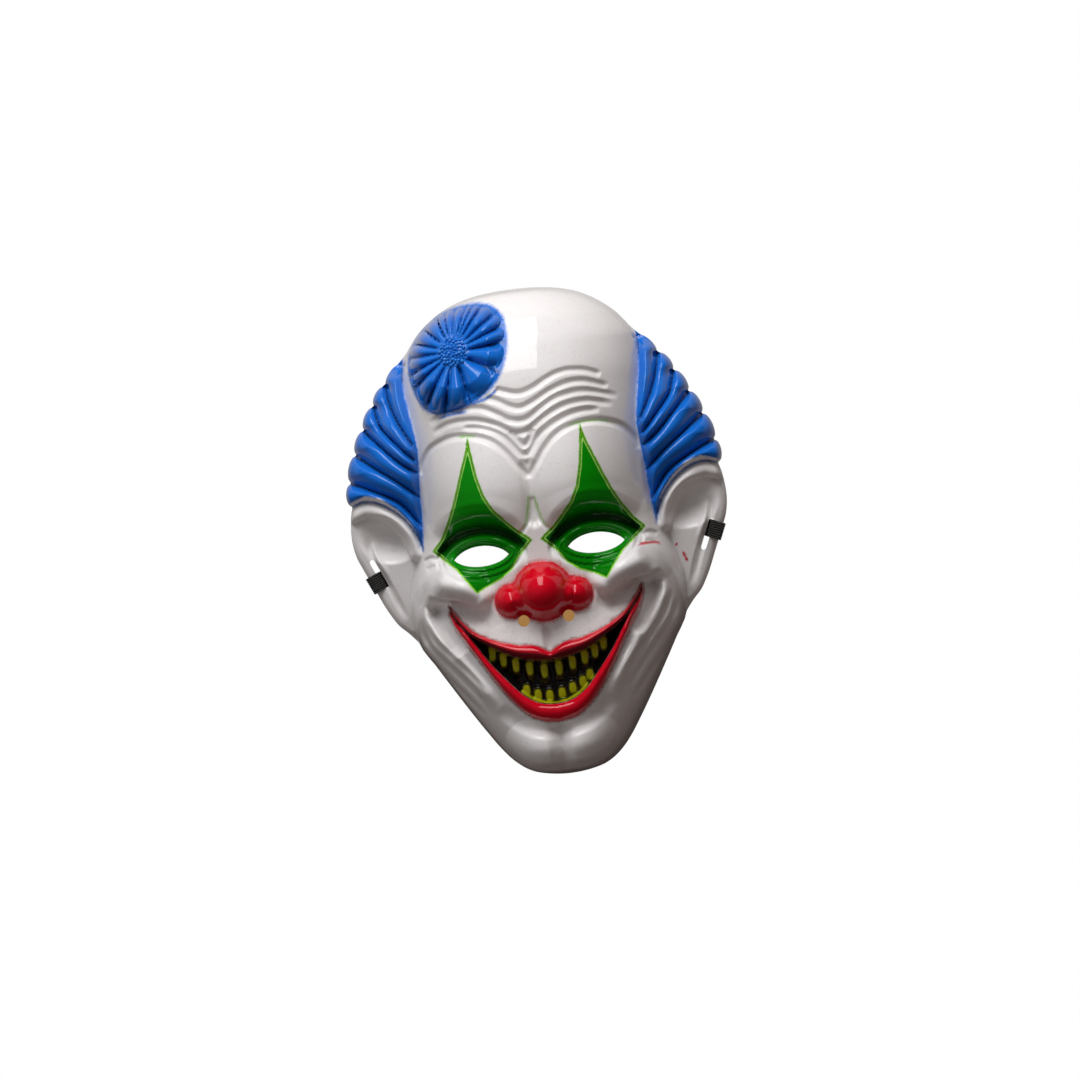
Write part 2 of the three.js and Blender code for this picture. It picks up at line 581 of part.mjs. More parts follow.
function meshGrid(grid) {
  const n = gridCells;
  const levels = [[[[0, 0], [n, n], [n, 0]], [[n, n], [0, 0], [0, n]]]];
  const finest = 2 * Math.log2(n) - 1;
  while (levels.length <= finest) levels.push(levels.at(-1).flatMap(halves));
  const misfit = new Float32Array(grid.length);
  for (const level of [...levels].reverse()) {
    for (const triangle of level) {
      const [a, b] = triangle;
      const middle = halfway(a, b);
      const index = gridIndex(...middle);
      const off = grid[index].at.clone()
        .sub(grid[gridIndex(...a)].at.clone().lerp(grid[gridIndex(...b)].at, 0.5));
      const span = grid[gridIndex(...a)].at.distanceTo(grid[gridIndex(...b)].at);
      const away = grid[index].rim ? off.length() : Math.abs(off.dot(gridNormal(grid, ...middle)));
      const own = away * Math.sqrt(span / facetSpan);
      const smaller = level === levels[finest] ? [] : halves(triangle);
      const finer = smaller.map(([p, q]) => misfit[gridIndex(...halfway(p, q))]);
      misfit[index] = Math.max(misfit[index], own, ...finer);
    }
  }
  const faces = [];
  const collect = (triangle, level) => {
    const [a, b] = triangle;
    const enough = level > finest || misfit[gridIndex(...halfway(a, b))] < sheetTolerance;
    if (enough) faces.push(triangle.map((p) => gridIndex(...p)));
    else halves(triangle).forEach((half) => collect(half, level + 1));
  };
  levels[0].forEach((triangle) => collect(triangle, 0));
  return faces;
}

// Back of the sheet: everywhere one wall below the front, measured square to it.
function backHeight(x, y) {
  const front = faceHeight(x, y);
  let low = front - shellWall;
  for (const reach of [0.55, 0.97]) {
    for (let k = 0; k < 8; k++) {
      const angle = (k * Math.PI) / 4;
      const radius = reach * shellWall;
      const drop = Math.sqrt(shellWall ** 2 - radius ** 2);
      low = Math.min(low, faceHeight(x + radius * Math.cos(angle), y + radius * Math.sin(angle)) - drop);
    }
  }
  const rim = rimHeight(x);
  return Math.max(low, rim + 0.1 * (front - rim));
}

function sheetGeometry() {
  const grid = layOutGrid();
  const faces = meshGrid(grid);
  const used = [...new Set(faces.flat())];
  const front = new Map(used.map((index, k) => [index, k]));
  const positions = used.flatMap((index) => grid[index].at.toArray());
  for (const index of used) {
    const { at, rim } = grid[index];
    positions.push(...(rim ? rimInside(grid, index) : [at.x, at.y, backHeight(at.x, at.y)]));
  }
  const triangles = [];
  const sides = new Map();
  for (const face of faces) {
    const [p, r, q] = face.map((index) => front.get(index));
    triangles.push(p, q, r, p + used.length, r + used.length, q + used.length);
    for (const [s, t] of [[p, q], [q, r], [r, p]]) {
      if (sides.has(`${t} ${s}`)) sides.delete(`${t} ${s}`);
      else sides.set(`${s} ${t}`, [s, t]);
    }
  }
  for (const [s, t] of sides.values()) {
    triangles.push(s, s + used.length, t, t, s + used.length, t + used.length);
  }
  return new THREE.BufferGeometry()
    .setAttribute('position', new THREE.Float32BufferAttribute(positions, 3))
    .setIndex(triangles);
}

// a rim point moved in by the wall, square to the outline
function rimInside(grid, index) {
  const at = grid[index].at;
  const i = index % (gridCells + 1);
  const j = (index - i) / (gridCells + 1);
  const step = i === 0 || i === gridCells ? gridCells + 1 : 1;
  const corner = (i === 0 || i === gridCells) && (j === 0 || j === gridCells);
  const [before, after] = corner
    ? [gridIndex(i, j === 0 ? 1 : j - 1), gridIndex(i === 0 ? 1 : i - 1, j)]
    : [index - step, index + step];
  const run = grid[after].at.clone().sub(grid[before].at);
  const along = new THREE.Vector2(run.x, run.y).normalize();
  const inward = new THREE.Vector2(-along.y, along.x);
  if (inward.x * at.x + inward.y * at.y > 0) inward.negate();
  return [at.x + inward.x * shellWall, at.y + inward.y * shellWall, at.z];
}

// Solids are joined and cut.
const wasm = await Module();
wasm.setup();

function toSolid(geometry) {
  const bare = geometry.clone();
  bare.deleteAttribute('normal');
  bare.deleteAttribute('uv');
  const merged = mergeVertices(bare, 1e-4);
  return new wasm.Manifold(new wasm.Mesh({
    numProp: 3,
    vertProperties: new Float32Array(merged.attributes.position.array),
    triVerts: new Uint32Array(merged.index.array),
  }));
}

function toGeometry(solid) {
  const mesh = solid.getMesh();
  return new THREE.BufferGeometry()
    .setAttribute('position', new THREE.Float32BufferAttribute(mesh.vertProperties, 3))
    .setIndex([...mesh.triVerts]);
}

// a punch through the sheet, cut along Z
function punch(shape) {
  const depth = 3 * browRise;
  return new THREE.ExtrudeGeometry(shape, { depth, bevelEnabled: false, curveSegments: 8 })
    .translate(0, 0, -depth / 4);
}

// lens of two arcs, its upper one fuller
function eyeHole(side) {
  const half = eyeHoleLength / 2;
  const crest = eyeHoleHeight / 2;
  const shape = new THREE.Shape();
  shape.moveTo(-half, -0.1 * crest);
  shape.bezierCurveTo(-0.55 * half, 1.32 * crest, 0.55 * half, 1.32 * crest, half, -0.1 * crest);
  shape.bezierCurveTo(0.6 * half, -1.3 * crest, -0.6 * half, -1.3 * crest, -half, -0.1 * crest);
  return punch(shape).translate((side * eyeSpacing) / 2, eyePlace * halfHeight, 0);
}

const nostrilVent = (side) => punch(new THREE.Shape().absarc(0, 0, ventDiameter / 2, 0, 2 * Math.PI))
  .translate((side * ventSpacing) / 2, ventPlace * halfHeight, 0);

// Where the strap is threaded: a frame at the ear's edge, its x axis pointing in to the slot.
function slotFrame() {
  const i = outline.findIndex((p) => p.y < slotPlace * halfHeight && p.x > 0.8 * halfWidth);
  const [upper, lower] = [outline[i - 1], outline[i]];
  const edge = upper.clone().lerp(lower, (upper.y - slotPlace * halfHeight) / (upper.y - lower.y));
  const along = lower.clone().sub(outline[i - 2]).normalize();
  return { edge, along, inward: new THREE.Vector2(along.y, -along.x) };
}
const ear = slotFrame();

function strapSlot() {
  const shape = new THREE.Shape();
  const run = (slotLength - slotWidth) / 2;
  shape.absarc(0, run, slotWidth / 2, 0, Math.PI);
  shape.absarc(0, -run, slotWidth / 2, Math.PI, 2 * Math.PI);
  const centre = ear.edge.clone().addScaledVector(ear.inward, slotInset);
  return punch(shape)
    .rotateZ(Math.atan2(ear.along.y, ear.along.x) + Math.PI / 2)
    .translate(centre.x, centre.y, 0);
}
const mirroredGeometry = (geometry) => {
  const turned = geometry.clone().scale(-1, 1, 1);
  const index = turned.index ?? mergeVertices(turned).index;
  return turned.setIndex([...index.array].reverse());
};

function maskShell() {
  const slot = mergeVertices(strapSlot());
  const sheet = toSolid(sheetGeometry());
  const cuts = [eyeHole(1), eyeHole(-1), nostrilVent(1), nostrilVent(-1), slot, mirroredGeometry(slot)];
  return toGeometry(cuts.reduce((solid, cut) => solid.subtract(toSolid(cut)), sheet));
}

// One end of the band in section, x out from the slot and y up: a loop round the ear's edge, sewn.
function loopLevels() {
  const slot = ear.edge.clone().addScaledVector(ear.inward, slotInset);
  const crest = ear.edge.clone().addScaledVector(ear.inward, edgeRoll);
  const top = Math.max(faceHeight(slot.x, slot.y), faceHeight(crest.x, crest.y));
  return { low: rimHeight(ear.edge.x) - bandGap - bandThickness, high: top + bandGap + bandThickness };
}

function bandEnd(side) {
  const { low, high } = loopLevels();
  const t = bandThickness;
  const left = -slotInset - t / 2;
  const right = bandGap + t;
  const shape = new THREE.Shape();
  shape.moveTo(left - sewnLength, low - t / 2);
  shape.lineTo(right - t, low);
  shape.quadraticCurveTo(right, low, right, low + t);
  shape.lineTo(right, high - t);
  shape.quadraticCurveTo(right, high, right - t, high);
  shape.lineTo(left + t, high);
  shape.quadraticCurveTo(left, high, left, high - t);
  shape.lineTo(left, low + 2 * t);
  shape.lineTo(left - sewnLength, low + 1.5 * t);
  const hole = new THREE.Path([
    new THREE.Vector2(left + t, low + t),
    new THREE.Vector2(right - t, low + t),
    new THREE.Vector2(right - t, high - t),
    new THREE.Vector2(left + t, high - t),
  ]);
  shape.holes.push(hole);
  const settings = { depth: bandWidth, bevelEnabled: false, curveSegments: 3 };
  const geometry = new THREE.ExtrudeGeometry(shape, settings);
  const outward = new THREE.Vector3(-ear.inward.x, -ear.inward.y, 0);
  const up = new THREE.Vector3(0, 0, 1);
  const across = outward.clone().cross(up);
  geometry.translate(0, 0, -bandWidth / 2 - slotPlay * side)
    .applyMatrix4(new THREE.Matrix4().makeBasis(outward, up, across).setPosition(ear.edge.x, ear.edge.y, 0));
  const merged = mergeVertices(geometry);
  return side > 0 ? merged : mirroredGeometry(merged);
}

// The free stretch: down from the sewn ends to the surface that the mask lies on, bowed towards the crown.
function bandRun() {
  const { low } = loopLevels();
  const across = new THREE.Vector2(-ear.along.x, -ear.along.y);
  const start = (side) => {
    const p = ear.edge.clone().addScaledVector(ear.inward, slotInset + sewnLength * 0.6)
      .addScaledVector(across, slotPlay * side);
    return new THREE.Vector2(side * p.x, p.y);
  };
  const reach = bandBow / (0.75 * ear.inward.y);
  const [a, d] = [start(-1), start(1)];
  const plan = new THREE.CubicBezierCurve(
    a, new THREE.Vector2(a.x - ear.inward.x * reach, a.y + ear.inward.y * reach),
    new THREE.Vector2(d.x + ear.inward.x * reach, d.y + ear.inward.y * reach), d);
  const corners = [];
  for (let i = 0; i <= bandSteps; i++) {
    const t = i / bandSteps;
    const p = plan.getPointAt(t);
    const tangent = plan.getTangentAt(t);
    const end = Math.min(t, 1 - t);
    const z = bandThickness / 2 + low * (1 - smoothstep(0.04, bandFall, end));
    const half = bandWidth / 2 - sewnEase;
    for (const [s, h] of [[-1, -1], [1, -1], [1, 1], [-1, 1]]) {
      corners.push(p.x - tangent.y * half * s, p.y + tangent.x * half * s, z + (h * bandThickness) / 2);
    }
  }
  const triangles = [0, 2, 1, 0, 3, 2];
  for (let i = 0; i < bandSteps; i++) {
    for (let k = 0; k < 4; k++) {
      const [p, q] = [4 * i + k, 4 * i + ((k + 1) % 4)];
      triangles.push(p, q, p + 4, q, q + 4, p + 4);
    }
  }
  const last = 4 * bandSteps;
  triangles.push(last, last + 1, last + 2, last, last + 2, last + 3);
  return new THREE.BufferGeometry()
    .setAttribute('position', new THREE.Float32BufferAttribute(corners, 3))
    .setIndex(triangles);
}
function elasticStrap() {
  const run = toSolid(bandRun());
  return toGeometry([bandEnd(1), bandEnd(-1)].reduce((solid, end) => solid.add(toSolid(end)), run));
}

const plastic = new THREE.MeshStandardMaterial({ color: 0xebe8e6, roughness: 0.18, metalness: 0 });
const elastic = new THREE.MeshStandardMaterial({ color: 0x141414, roughness: 0.85, metalness: 0 });

const clownMask = new THREE.Group();
for (const [name, geometry, material] of [
  ['mask_shell', maskShell(), plastic],
  ['elastic_strap', elasticStrap(), elastic],
]) {
  const piece = new THREE.Mesh(geometry, material);
  piece.name = name;
  clownMask.add(piece);
}

export default clownMask;
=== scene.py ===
import math
import bmesh
import bpy
import numpy as np
from mathutils import Matrix, Vector


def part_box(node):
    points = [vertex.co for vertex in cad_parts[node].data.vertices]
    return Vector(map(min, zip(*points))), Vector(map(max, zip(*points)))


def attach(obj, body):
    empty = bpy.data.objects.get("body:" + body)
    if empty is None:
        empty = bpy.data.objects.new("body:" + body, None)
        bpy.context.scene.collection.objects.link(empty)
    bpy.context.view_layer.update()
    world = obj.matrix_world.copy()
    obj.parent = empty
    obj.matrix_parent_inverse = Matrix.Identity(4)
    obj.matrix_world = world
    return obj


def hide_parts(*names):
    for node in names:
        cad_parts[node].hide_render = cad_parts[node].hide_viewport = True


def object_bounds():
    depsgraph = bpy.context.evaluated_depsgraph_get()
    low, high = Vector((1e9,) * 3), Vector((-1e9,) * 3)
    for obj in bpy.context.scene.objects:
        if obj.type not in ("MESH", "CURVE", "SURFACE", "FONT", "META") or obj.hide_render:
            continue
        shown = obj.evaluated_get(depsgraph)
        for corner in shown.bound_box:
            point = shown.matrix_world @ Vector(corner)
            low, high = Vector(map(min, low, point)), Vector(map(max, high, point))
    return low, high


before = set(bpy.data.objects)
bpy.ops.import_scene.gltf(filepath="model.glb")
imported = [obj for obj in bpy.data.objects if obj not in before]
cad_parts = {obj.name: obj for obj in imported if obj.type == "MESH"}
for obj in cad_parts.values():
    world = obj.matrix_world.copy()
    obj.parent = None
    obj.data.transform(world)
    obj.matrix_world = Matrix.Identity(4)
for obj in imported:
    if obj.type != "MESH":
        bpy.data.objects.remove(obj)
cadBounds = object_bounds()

mm = 0.001
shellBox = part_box("mask_shell")

# places on the mask are shares: x of halfWidth, y of halfHeight; the right side is mirrored to the left
mask = {
    "widestShare": 0.9875,  # widest point of the outline
    "wall": 1.2,
    "edgeRoll": 3.0,  # radius that the sheet turns down with at its rim
    "earLift": 8.0,
    "browRise": 78.0,
    "columns": 256,  # quads across
    "rows": 300,  # quads from chin to crown
    "slopeStep": 0.35,
}
halfHeight = (shellBox[1][1] - shellBox[0][1]) / 2 / mm
halfWidth = (shellBox[1][0] - shellBox[0][0]) / 2 / mm / mask["widestShare"]


def smoothstep(low, high, value):
    t = np.clip((value - low) / (high - low), 0, 1)
    return t * t * (3 - 2 * t)


def higher(a, b, blend):
    t = np.clip(0.5 + 0.5 * (a - b) / blend, 0, 1)
    return b * (1 - t) + a * t + blend * t * (1 - t)


def dome(r, power=0.5):
    return np.clip(1 - r * r, 0, None) ** power


def bell(r):
    return np.where(np.abs(r) < 1, 0.5 + 0.5 * np.cos(np.pi * np.clip(r, -1, 1)), 0)


def columnReader(rows, key, column):  # a table's column at any place, without overshoot
    ys = np.array([row[key] for row in rows], float)
    vs = np.array([row[column] for row in rows], float)
    if ys[0] > ys[-1]:
        ys, vs = ys[::-1], vs[::-1]
    gaps = np.diff(ys)
    slopes = np.diff(vs) / gaps
    tangents = np.zeros_like(ys)
    tangents[0], tangents[-1] = slopes[0], slopes[-1]
    for i in range(1, len(ys) - 1):
        a, b = slopes[i - 1], slopes[i]
        tangents[i] = 0 if a * b <= 0 else 2 * a * b / (a + b)

    def read(place):
        place = np.asarray(place, float)
        i = np.clip(np.searchsorted(ys, place) - 1, 0, len(ys) - 2)
        t = np.clip((place - ys[i]) / gaps[i], 0, 1)
        rest = 1 - t
        return (rest * rest * (1 + 2 * t) * vs[i] + t * t * (3 - 2 * t) * vs[i + 1]
                + t * rest * gaps[i] * (rest * tangents[i] - t * tangents[i + 1]))
    return read


def curveThrough(points, steps=6):  # smooth line in mm through places in shares
    p = np.array([(x * halfWidth, y * halfHeight) for x, y in points], float)
    line = []
    for i in range(len(p) - 1):
        b, c = p[i], p[i + 1]
        a = p[i - 1] if i > 0 else b
        d = p[i + 2] if i + 2 < len(p) else c
        for k in range(steps):
            t = k / steps
            line.append(0.5 * (2 * b + (c - a) * t + (2 * a - 5 * b + 4 * c - d) * t * t
                               + (3 * b - a - 3 * c + d) * t ** 3))
    line.append(p[-1])
    return np.array(line)


def alongLine(line, x, y, closed=False):  # gap to a line in mm, share along it, and side (+1 left of it)
    ends = np.roll(line, -1, axis=0) if closed else line[1:]
    starts = line if closed else line[:-1]
    best = np.full(x.shape, 1e18)
    share = np.zeros(x.shape)
    side = np.ones(x.shape)
    for i, (a, b) in enumerate(zip(starts, ends)):
        e = b - a
        t = np.clip(((x - a[0]) * e[0] + (y - a[1]) * e[1]) / max(e @ e, 1e-9), 0, 1)
        dx = x - a[0] - t * e[0]
        dy = y - a[1] - t * e[1]
        d = dx * dx + dy * dy
        nearer = d < best
        best = np.where(nearer, d, best)
        share = np.where(nearer, (i + t) / len(starts), share)
        side = np.where(nearer, np.where(e[0] * dy - e[1] * dx >= 0, 1, -1), side)
    return np.sqrt(best), share, side


def insideLine(line, x, y):
    odd = np.zeros(x.shape, bool)
    for a, b in zip(line, np.roll(line, -1, axis=0)):
        rise = b[1] - a[1]
        if rise == 0:
            continue
        crosses = (a[1] > y) != (b[1] > y)
        odd ^= crosses & (x < (b[0] - a[0]) * (y - a[1]) / rise + a[0])
    return odd


def zoneDepth(line, x, y):  # mm inside a closed line, negative outside
    gap, _, _ = alongLine(line, x, y, closed=True)
    return np.where(insideLine(line, x, y), gap, -gap)


def ellipseAt(place, radii, x, y, turn=0):
    dx, dy = x - place[0] * halfWidth, y - place[1] * halfHeight
    c, s = math.cos(math.radians(turn)), math.sin(math.radians(turn))
    return np.hypot((dx * c + dy * s) / radii[0], (dy * c - dx * s) / radii[1])


# the head

headSections = [  # y, half width, crest as a share of browRise
    dict(y=1.0, wide=0.0, crest=0.0), dict(y=0.98, wide=0.25, crest=0.33),
    dict(y=0.95, wide=0.36, crest=0.47), dict(y=0.9, wide=0.462, crest=0.61),
    dict(y=0.85, wide=0.532, crest=0.7), dict(y=0.75, wide=0.612, crest=0.82),
    dict(y=0.6, wide=0.645, crest=0.92), dict(y=0.4, wide=0.65, crest=0.97),
    dict(y=0.2, wide=0.65, crest=0.97), dict(y=0.05, wide=0.66, crest=0.94),
    dict(y=-0.1, wide=0.69, crest=0.91), dict(y=-0.25, wide=0.725, crest=0.9),
    dict(y=-0.4, wide=0.702, crest=0.89), dict(y=-0.5, wide=0.632, crest=0.885),
    dict(y=-0.6, wide=0.558, crest=0.88), dict(y=-0.7, wide=0.482, crest=0.865),
    dict(y=-0.8, wide=0.402, crest=0.86), dict(y=-0.87, wide=0.342, crest=0.855),
    dict(y=-0.93, wide=0.275, crest=0.81), dict(y=-0.975, wide=0.19, crest=0.6),
    dict(y=-1.0, wide=0.0, crest=0.0),
]
sectionWide = columnReader([dict(y=s["y"], wide=s["wide"] ** 2) for s in headSections], "y", "wide")
sectionCrest = columnReader(headSections, "y", "crest")


def headWide(shareY):
    return np.sqrt(np.clip(sectionWide(shareY), 0, None))


def headForm(x, y):
    across = np.abs(x) / np.maximum(headWide(y / halfHeight) * halfWidth, 0.5)
    lower = smoothstep(0.1, -0.5, y / halfHeight)  # the jaw is boxier than the forehead
    return mask["browRise"] * sectionCrest(y / halfHeight) * dome(across ** (1.15 + 0.3 * lower),
                                                                  0.56 - 0.06 * lower)


# side hair

hair = {
    "lockRise": 7.5,
    "lockSwell": 0.03,
    "furrows": [  # between the locks, from the outline inwards; the last one is the ear's upper edge
        [(0.613, 0.745), (0.62, 0.69), (0.605, 0.62)],
        [(0.713, 0.662), (0.7, 0.59), (0.66, 0.5), (0.6, 0.41)],
        [(0.785, 0.584), (0.76, 0.5), (0.68, 0.42), (0.6, 0.35)],
        [(0.85, 0.492), (0.78, 0.43), (0.68, 0.35), (0.595, 0.3)],
        [(0.907, 0.397), (0.82, 0.34), (0.7, 0.27), (0.6, 0.2)],
        [(0.953, 0.287), (0.83, 0.24), (0.7, 0.18), (0.61, 0.08)],
        [(0.962, 0.19), (0.894, 0.205), (0.81, 0.19), (0.72, 0.14), (0.65, 0.07), (0.61, -0.01)],
    ],
    "hairline": [(0.613, 0.76), (0.618, 0.7), (0.615, 0.62), (0.6, 0.54), (0.583, 0.46), (0.574, 0.39),
                 (0.58, 0.3), (0.59, 0.215), (0.595, 0.12), (0.603, 0.04), (0.611, -0.02)],
}
hairFurrows = [curveThrough(points) for points in hair["furrows"]]
hairline = curveThrough(hair["hairline"])
hairlineReader = columnReader([dict(y=y, x=x) for x, y in hair["hairline"]], "y", "x")
earLine = hairFurrows[-1]


def lockCrest(x, y):  # 0 in the furrows, 1 along a lock's crest
    gaps = [alongLine(line, x, y) for line in hairFurrows]
    crest = np.zeros(x.shape)
    for (gapA, _, sideA), (gapB, _, sideB) in zip(gaps, gaps[1:]):
        between = (sideA > 0) & (sideB < 0)
        crest = np.where(between, dome(2 * gapA / np.maximum(gapA + gapB, 1e-6) - 1, 0.7), crest)
    return crest


# ears

earEdge = [(0.978, 0.14), (0.986, 0.06), (0.974, -0.01), (0.945, -0.07),
           (0.892, -0.165), (0.85, -0.24), (0.8, -0.31), (0.75, -0.352), (0.705, -0.395)]
ear = {
    "foot": 2.8,  # above the rim, beside it
    "slope": 0.55,
    "helixRise": 7.5,
    "helixHalf": 5.0,
    "bowl": dict(place=(0.785, 0.045), radii=(18, 15), depth=11.0),
    "lines": [  # the groove inside the slot's strip, and the ridge beside it
        dict(rise=-2.4, half=3.0, line=[(0.9, 0.07), (0.9, 0.03), (0.885, -0.03), (0.85, -0.095),
                                        (0.81, -0.165),
                                        (0.775, -0.24), (0.745, -0.3)]),
        dict(rise=1.2, half=3.0, line=[(0.88, 0.04), (0.872, 0.0), (0.85, -0.05), (0.81, -0.12)]),
    ],
}
earCurves = [(row, curveThrough(row["line"])) for row in ear["lines"]]


def earRelief(x, y, fromHair):
    helix = ear["helixRise"] * dome((fromHair - ear["helixHalf"] * 0.9) / ear["helixHalf"], 0.7)
    bowl = ear["bowl"]
    hollow = dome(ellipseAt(bowl["place"], bowl["radii"], x, y, 12), 1.6)
    inHelix = smoothstep(3, 8, fromHair)
    total = helix - bowl["depth"] * hollow * inHelix
    for row, line in earCurves:
        gap, share, _ = alongLine(line, x, y)
        total = total + row["rise"] * bell(gap / row["half"]) * taper(share, 0.25)
    return total


def rimHeight(x):
    return mask["earLift"] * smoothstep(0.62, 0.86, np.abs(x) / halfWidth)


def flangeForm(x, y, fromEdge):  # hair and ear, rising from the rim to the head
    top = hairFurrows[0][0][1]
    foot = earEdge[-1][1] * halfHeight
    window = smoothstep(top + 2, top - 8, y) * smoothstep(foot - 4, foot + 8, y)
    base = (rimHeight(x) + ear["foot"] + ear["slope"] * fromEdge) * window
    fromHair, _, side = alongLine(earLine, x, y)
    fromFace, _, faceSide = alongLine(hairline, x, y)
    climb = 1 - (1 - fromEdge / np.maximum(fromEdge + fromFace, 0.5)) ** 2
    start = rimHeight(x) + 1.5
    root = start + (headForm(hairlineReader(y / halfHeight) * halfWidth, y) + 0.5 - start) * climb
    nearEar = smoothstep(16, 2, fromHair) * (side < 0)
    root = root * (1 - nearEar) + (base + 3) * nearEar
    locks = (root + hair["lockRise"] * lockCrest(x, y) * smoothstep(-1, 5, fromFace * faceSide)) * window
    inEar = smoothstep(-1.2, 1.0, fromHair * side)
    return locks * (1 - inEar) + (base + earRelief(x, y, fromHair)) * inEar


# outline, right half from the crown down to the chin

def lockOutline(start, end, steps=10):
    a, b = np.array(start), np.array(end)
    along = b - a
    out = np.array([-along[1], along[0]]) / np.hypot(*along)
    swell = out * hair["lockSwell"]
    return [tuple(a + along * k / steps + swell * dome(2 * k / steps - 1)) for k in range(steps)]


def rightOutline():
    crown = []
    crownSteps = 22
    for k in range(crownSteps):
        shareY = 1 - (1 - hair["furrows"][0][0][1]) * (k / crownSteps) ** 2
        crown.append((float(headWide(shareY)), shareY))
    locks = []
    for a, b in zip(hair["furrows"], hair["furrows"][1:]):
        locks += lockOutline(a[0], b[0])
    edge = curveThrough([hair["furrows"][-1][0]] + earEdge) / (halfWidth, halfHeight)
    jaw = []
    jawSteps = 36
    jawTop = earEdge[-1][1]
    for k in range(1, jawSteps + 1):
        shareY = jawTop - (1 + jawTop) * (1 - (1 - k / jawSteps) ** 2)
        jaw.append((float(headWide(shareY)), shareY))
    return np.array(crown + locks + [tuple(p) for p in edge] + jaw) * (halfWidth, halfHeight)


outline = rightOutline()
print("outline", len(outline), "points a side")

# forehead, brows and eyes

forehead = {
    "furrowDepth": 2.0,
    "furrowHalf": 2.8,
    "furrows": [  # from the left to the right, top to bottom; the fifth is the small V in the middle
        [(-0.12, 0.592), (-0.081, 0.581), (-0.029, 0.568), (0.015, 0.566), (0.077, 0.581), (0.135, 0.605),
         (0.193, 0.625), (0.248, 0.634), (0.303, 0.633), (0.361, 0.624), (0.43, 0.6)],
        [(-0.18, 0.565), (-0.114, 0.544), (-0.063, 0.52), (-0.011, 0.506), (0.034, 0.513),
         (0.091, 0.533), (0.149, 0.557), (0.206, 0.575), (0.263, 0.586), (0.328, 0.586), (0.391, 0.572),
         (0.46, 0.55)],
        [(-0.49, 0.485), (-0.423, 0.512), (-0.35, 0.525), (-0.271, 0.527), (-0.2, 0.521), (-0.122, 0.49),
         (-0.072, 0.465),
         (-0.019, 0.454), (0.025, 0.458), (0.071, 0.477), (0.131, 0.508), (0.188, 0.53), (0.256, 0.542),
         (0.321, 0.545),
         (0.401, 0.533), (0.505, 0.505)],
        [(-0.48, 0.443), (-0.393, 0.474), (-0.304, 0.48), (-0.225, 0.473), (-0.13, 0.445), (-0.064, 0.413),
         (-0.02, 0.404),
         (0.02, 0.409), (0.064, 0.429), (0.111, 0.454), (0.169, 0.478), (0.232, 0.496), (0.304, 0.504),
         (0.369, 0.5), (0.475, 0.476)],
        [(-0.07, 0.415), (-0.04, 0.385), (-0.012, 0.358), (0.0, 0.355), (0.015, 0.362), (0.034, 0.385),
         (0.05, 0.416)],
        [(-0.32, 0.453), (-0.24, 0.446), (-0.17, 0.428), (-0.12, 0.405), (-0.08, 0.375), (-0.031, 0.325),
         (-0.001, 0.315),
         (0.028, 0.33), (0.067, 0.378), (0.115, 0.409), (0.185, 0.439), (0.253, 0.458), (0.325, 0.466),
         (0.405, 0.461)],
    ],
    "browLines": [  # half width of each groove and its depth
        dict(half=3, depth=2.4, line=[(0.57, 0.3), (0.55, 0.335), (0.5, 0.385), (0.42, 0.412), (0.34, 0.42),
                                      (0.25, 0.41), (0.17, 0.383), (0.1, 0.33), (0.05, 0.275),
                                      (0.01, 0.235)]),
        dict(half=6, depth=2.8, line=[(0, 0.27), (0, 0.16), (0, 0.05)]),
        dict(half=2.2, depth=1.0, line=[(0.005, 0.13), (0.02, 0.07), (0.045, 0.025), (0.085, 0.0)]),
    ],
}
foreheadCurves = [curveThrough(points) for points in forehead["furrows"]]
browLines = [(curveThrough(row["line"]), row["depth"], row["half"]) for row in forehead["browLines"]]


def taper(share, ends=0.12):  # a line that fades out at both ends
    return smoothstep(0, ends, share) * smoothstep(1, 1 - ends, share)


def foreheadRelief(px, y):
    total = np.zeros(px.shape)
    for line in foreheadCurves:
        gap, share, _ = alongLine(line, px, y)
        total += taper(share, 0.05) * bell(gap / forehead["furrowHalf"])
    return -forehead["furrowDepth"] * np.clip(total, 0, 1.2)


eye = {
    "spacing": 64.0,
    "place": -0.072,
    "holeLength": 31.0,
    "holeHeight": 11.5,
    "upper": [  # rise over the face at each gap from the hole, mm
        (0, -1.5), (1.2, 0.2), (3.6, 1.4), (5.0, 0.2), (6.6, -3.6), (8.4, -6.0), (10.2, -6.0), (12.6, -3.2),
        (15.0, -0.6),
        (16.6, 0.9), (18.5, 1.2), (22, 0.6), (27, 0)],
    "lower": [(0, -1.4), (1.1, 0.4), (2.1, 0.5), (3.3, -1.0), (4.6, 0.6), (5.6, 0.4), (6.8, -1.0),
              (8.2, 0.4), (9.6, 0.3), (14, 0)],
    "sink": 6.0,
    "sinkPlace": (0.31, -0.02),
    "sinkRadii": (28, 22),
}


def eyeHoleLine(steps=14):  # lens of two arcs about its own middle, mm
    half, crest = eye["holeLength"] / 2, eye["holeHeight"] / 2
    line = []
    for ends, bulge in (((-half, half), (0.55, 1.32)), ((half, -half), (0.6, -1.3))):
        for k in range(steps):
            t = k / steps
            foot, top = -0.1 * crest, bulge[1] * crest
            p = [(ends[0], foot), (ends[0] * bulge[0], top), (ends[1] * bulge[0], top), (ends[1], foot)]
            w = (1 - t) ** 3, 3 * (1 - t) ** 2 * t, 3 * (1 - t) * t * t, t ** 3
            line.append([sum(wi * pi[c] for wi, pi in zip(w, p)) for c in (0, 1)])
    return np.array(line)


eyeCentre = np.array([eye["spacing"] / 2, eye["place"] * halfHeight])
eyeLine = eyeHoleLine() + eyeCentre
ringReader = {lid: columnReader([dict(gap=g, rise=r) for g, r in eye[lid]], "gap", "rise")
              for lid in ("upper", "lower")}


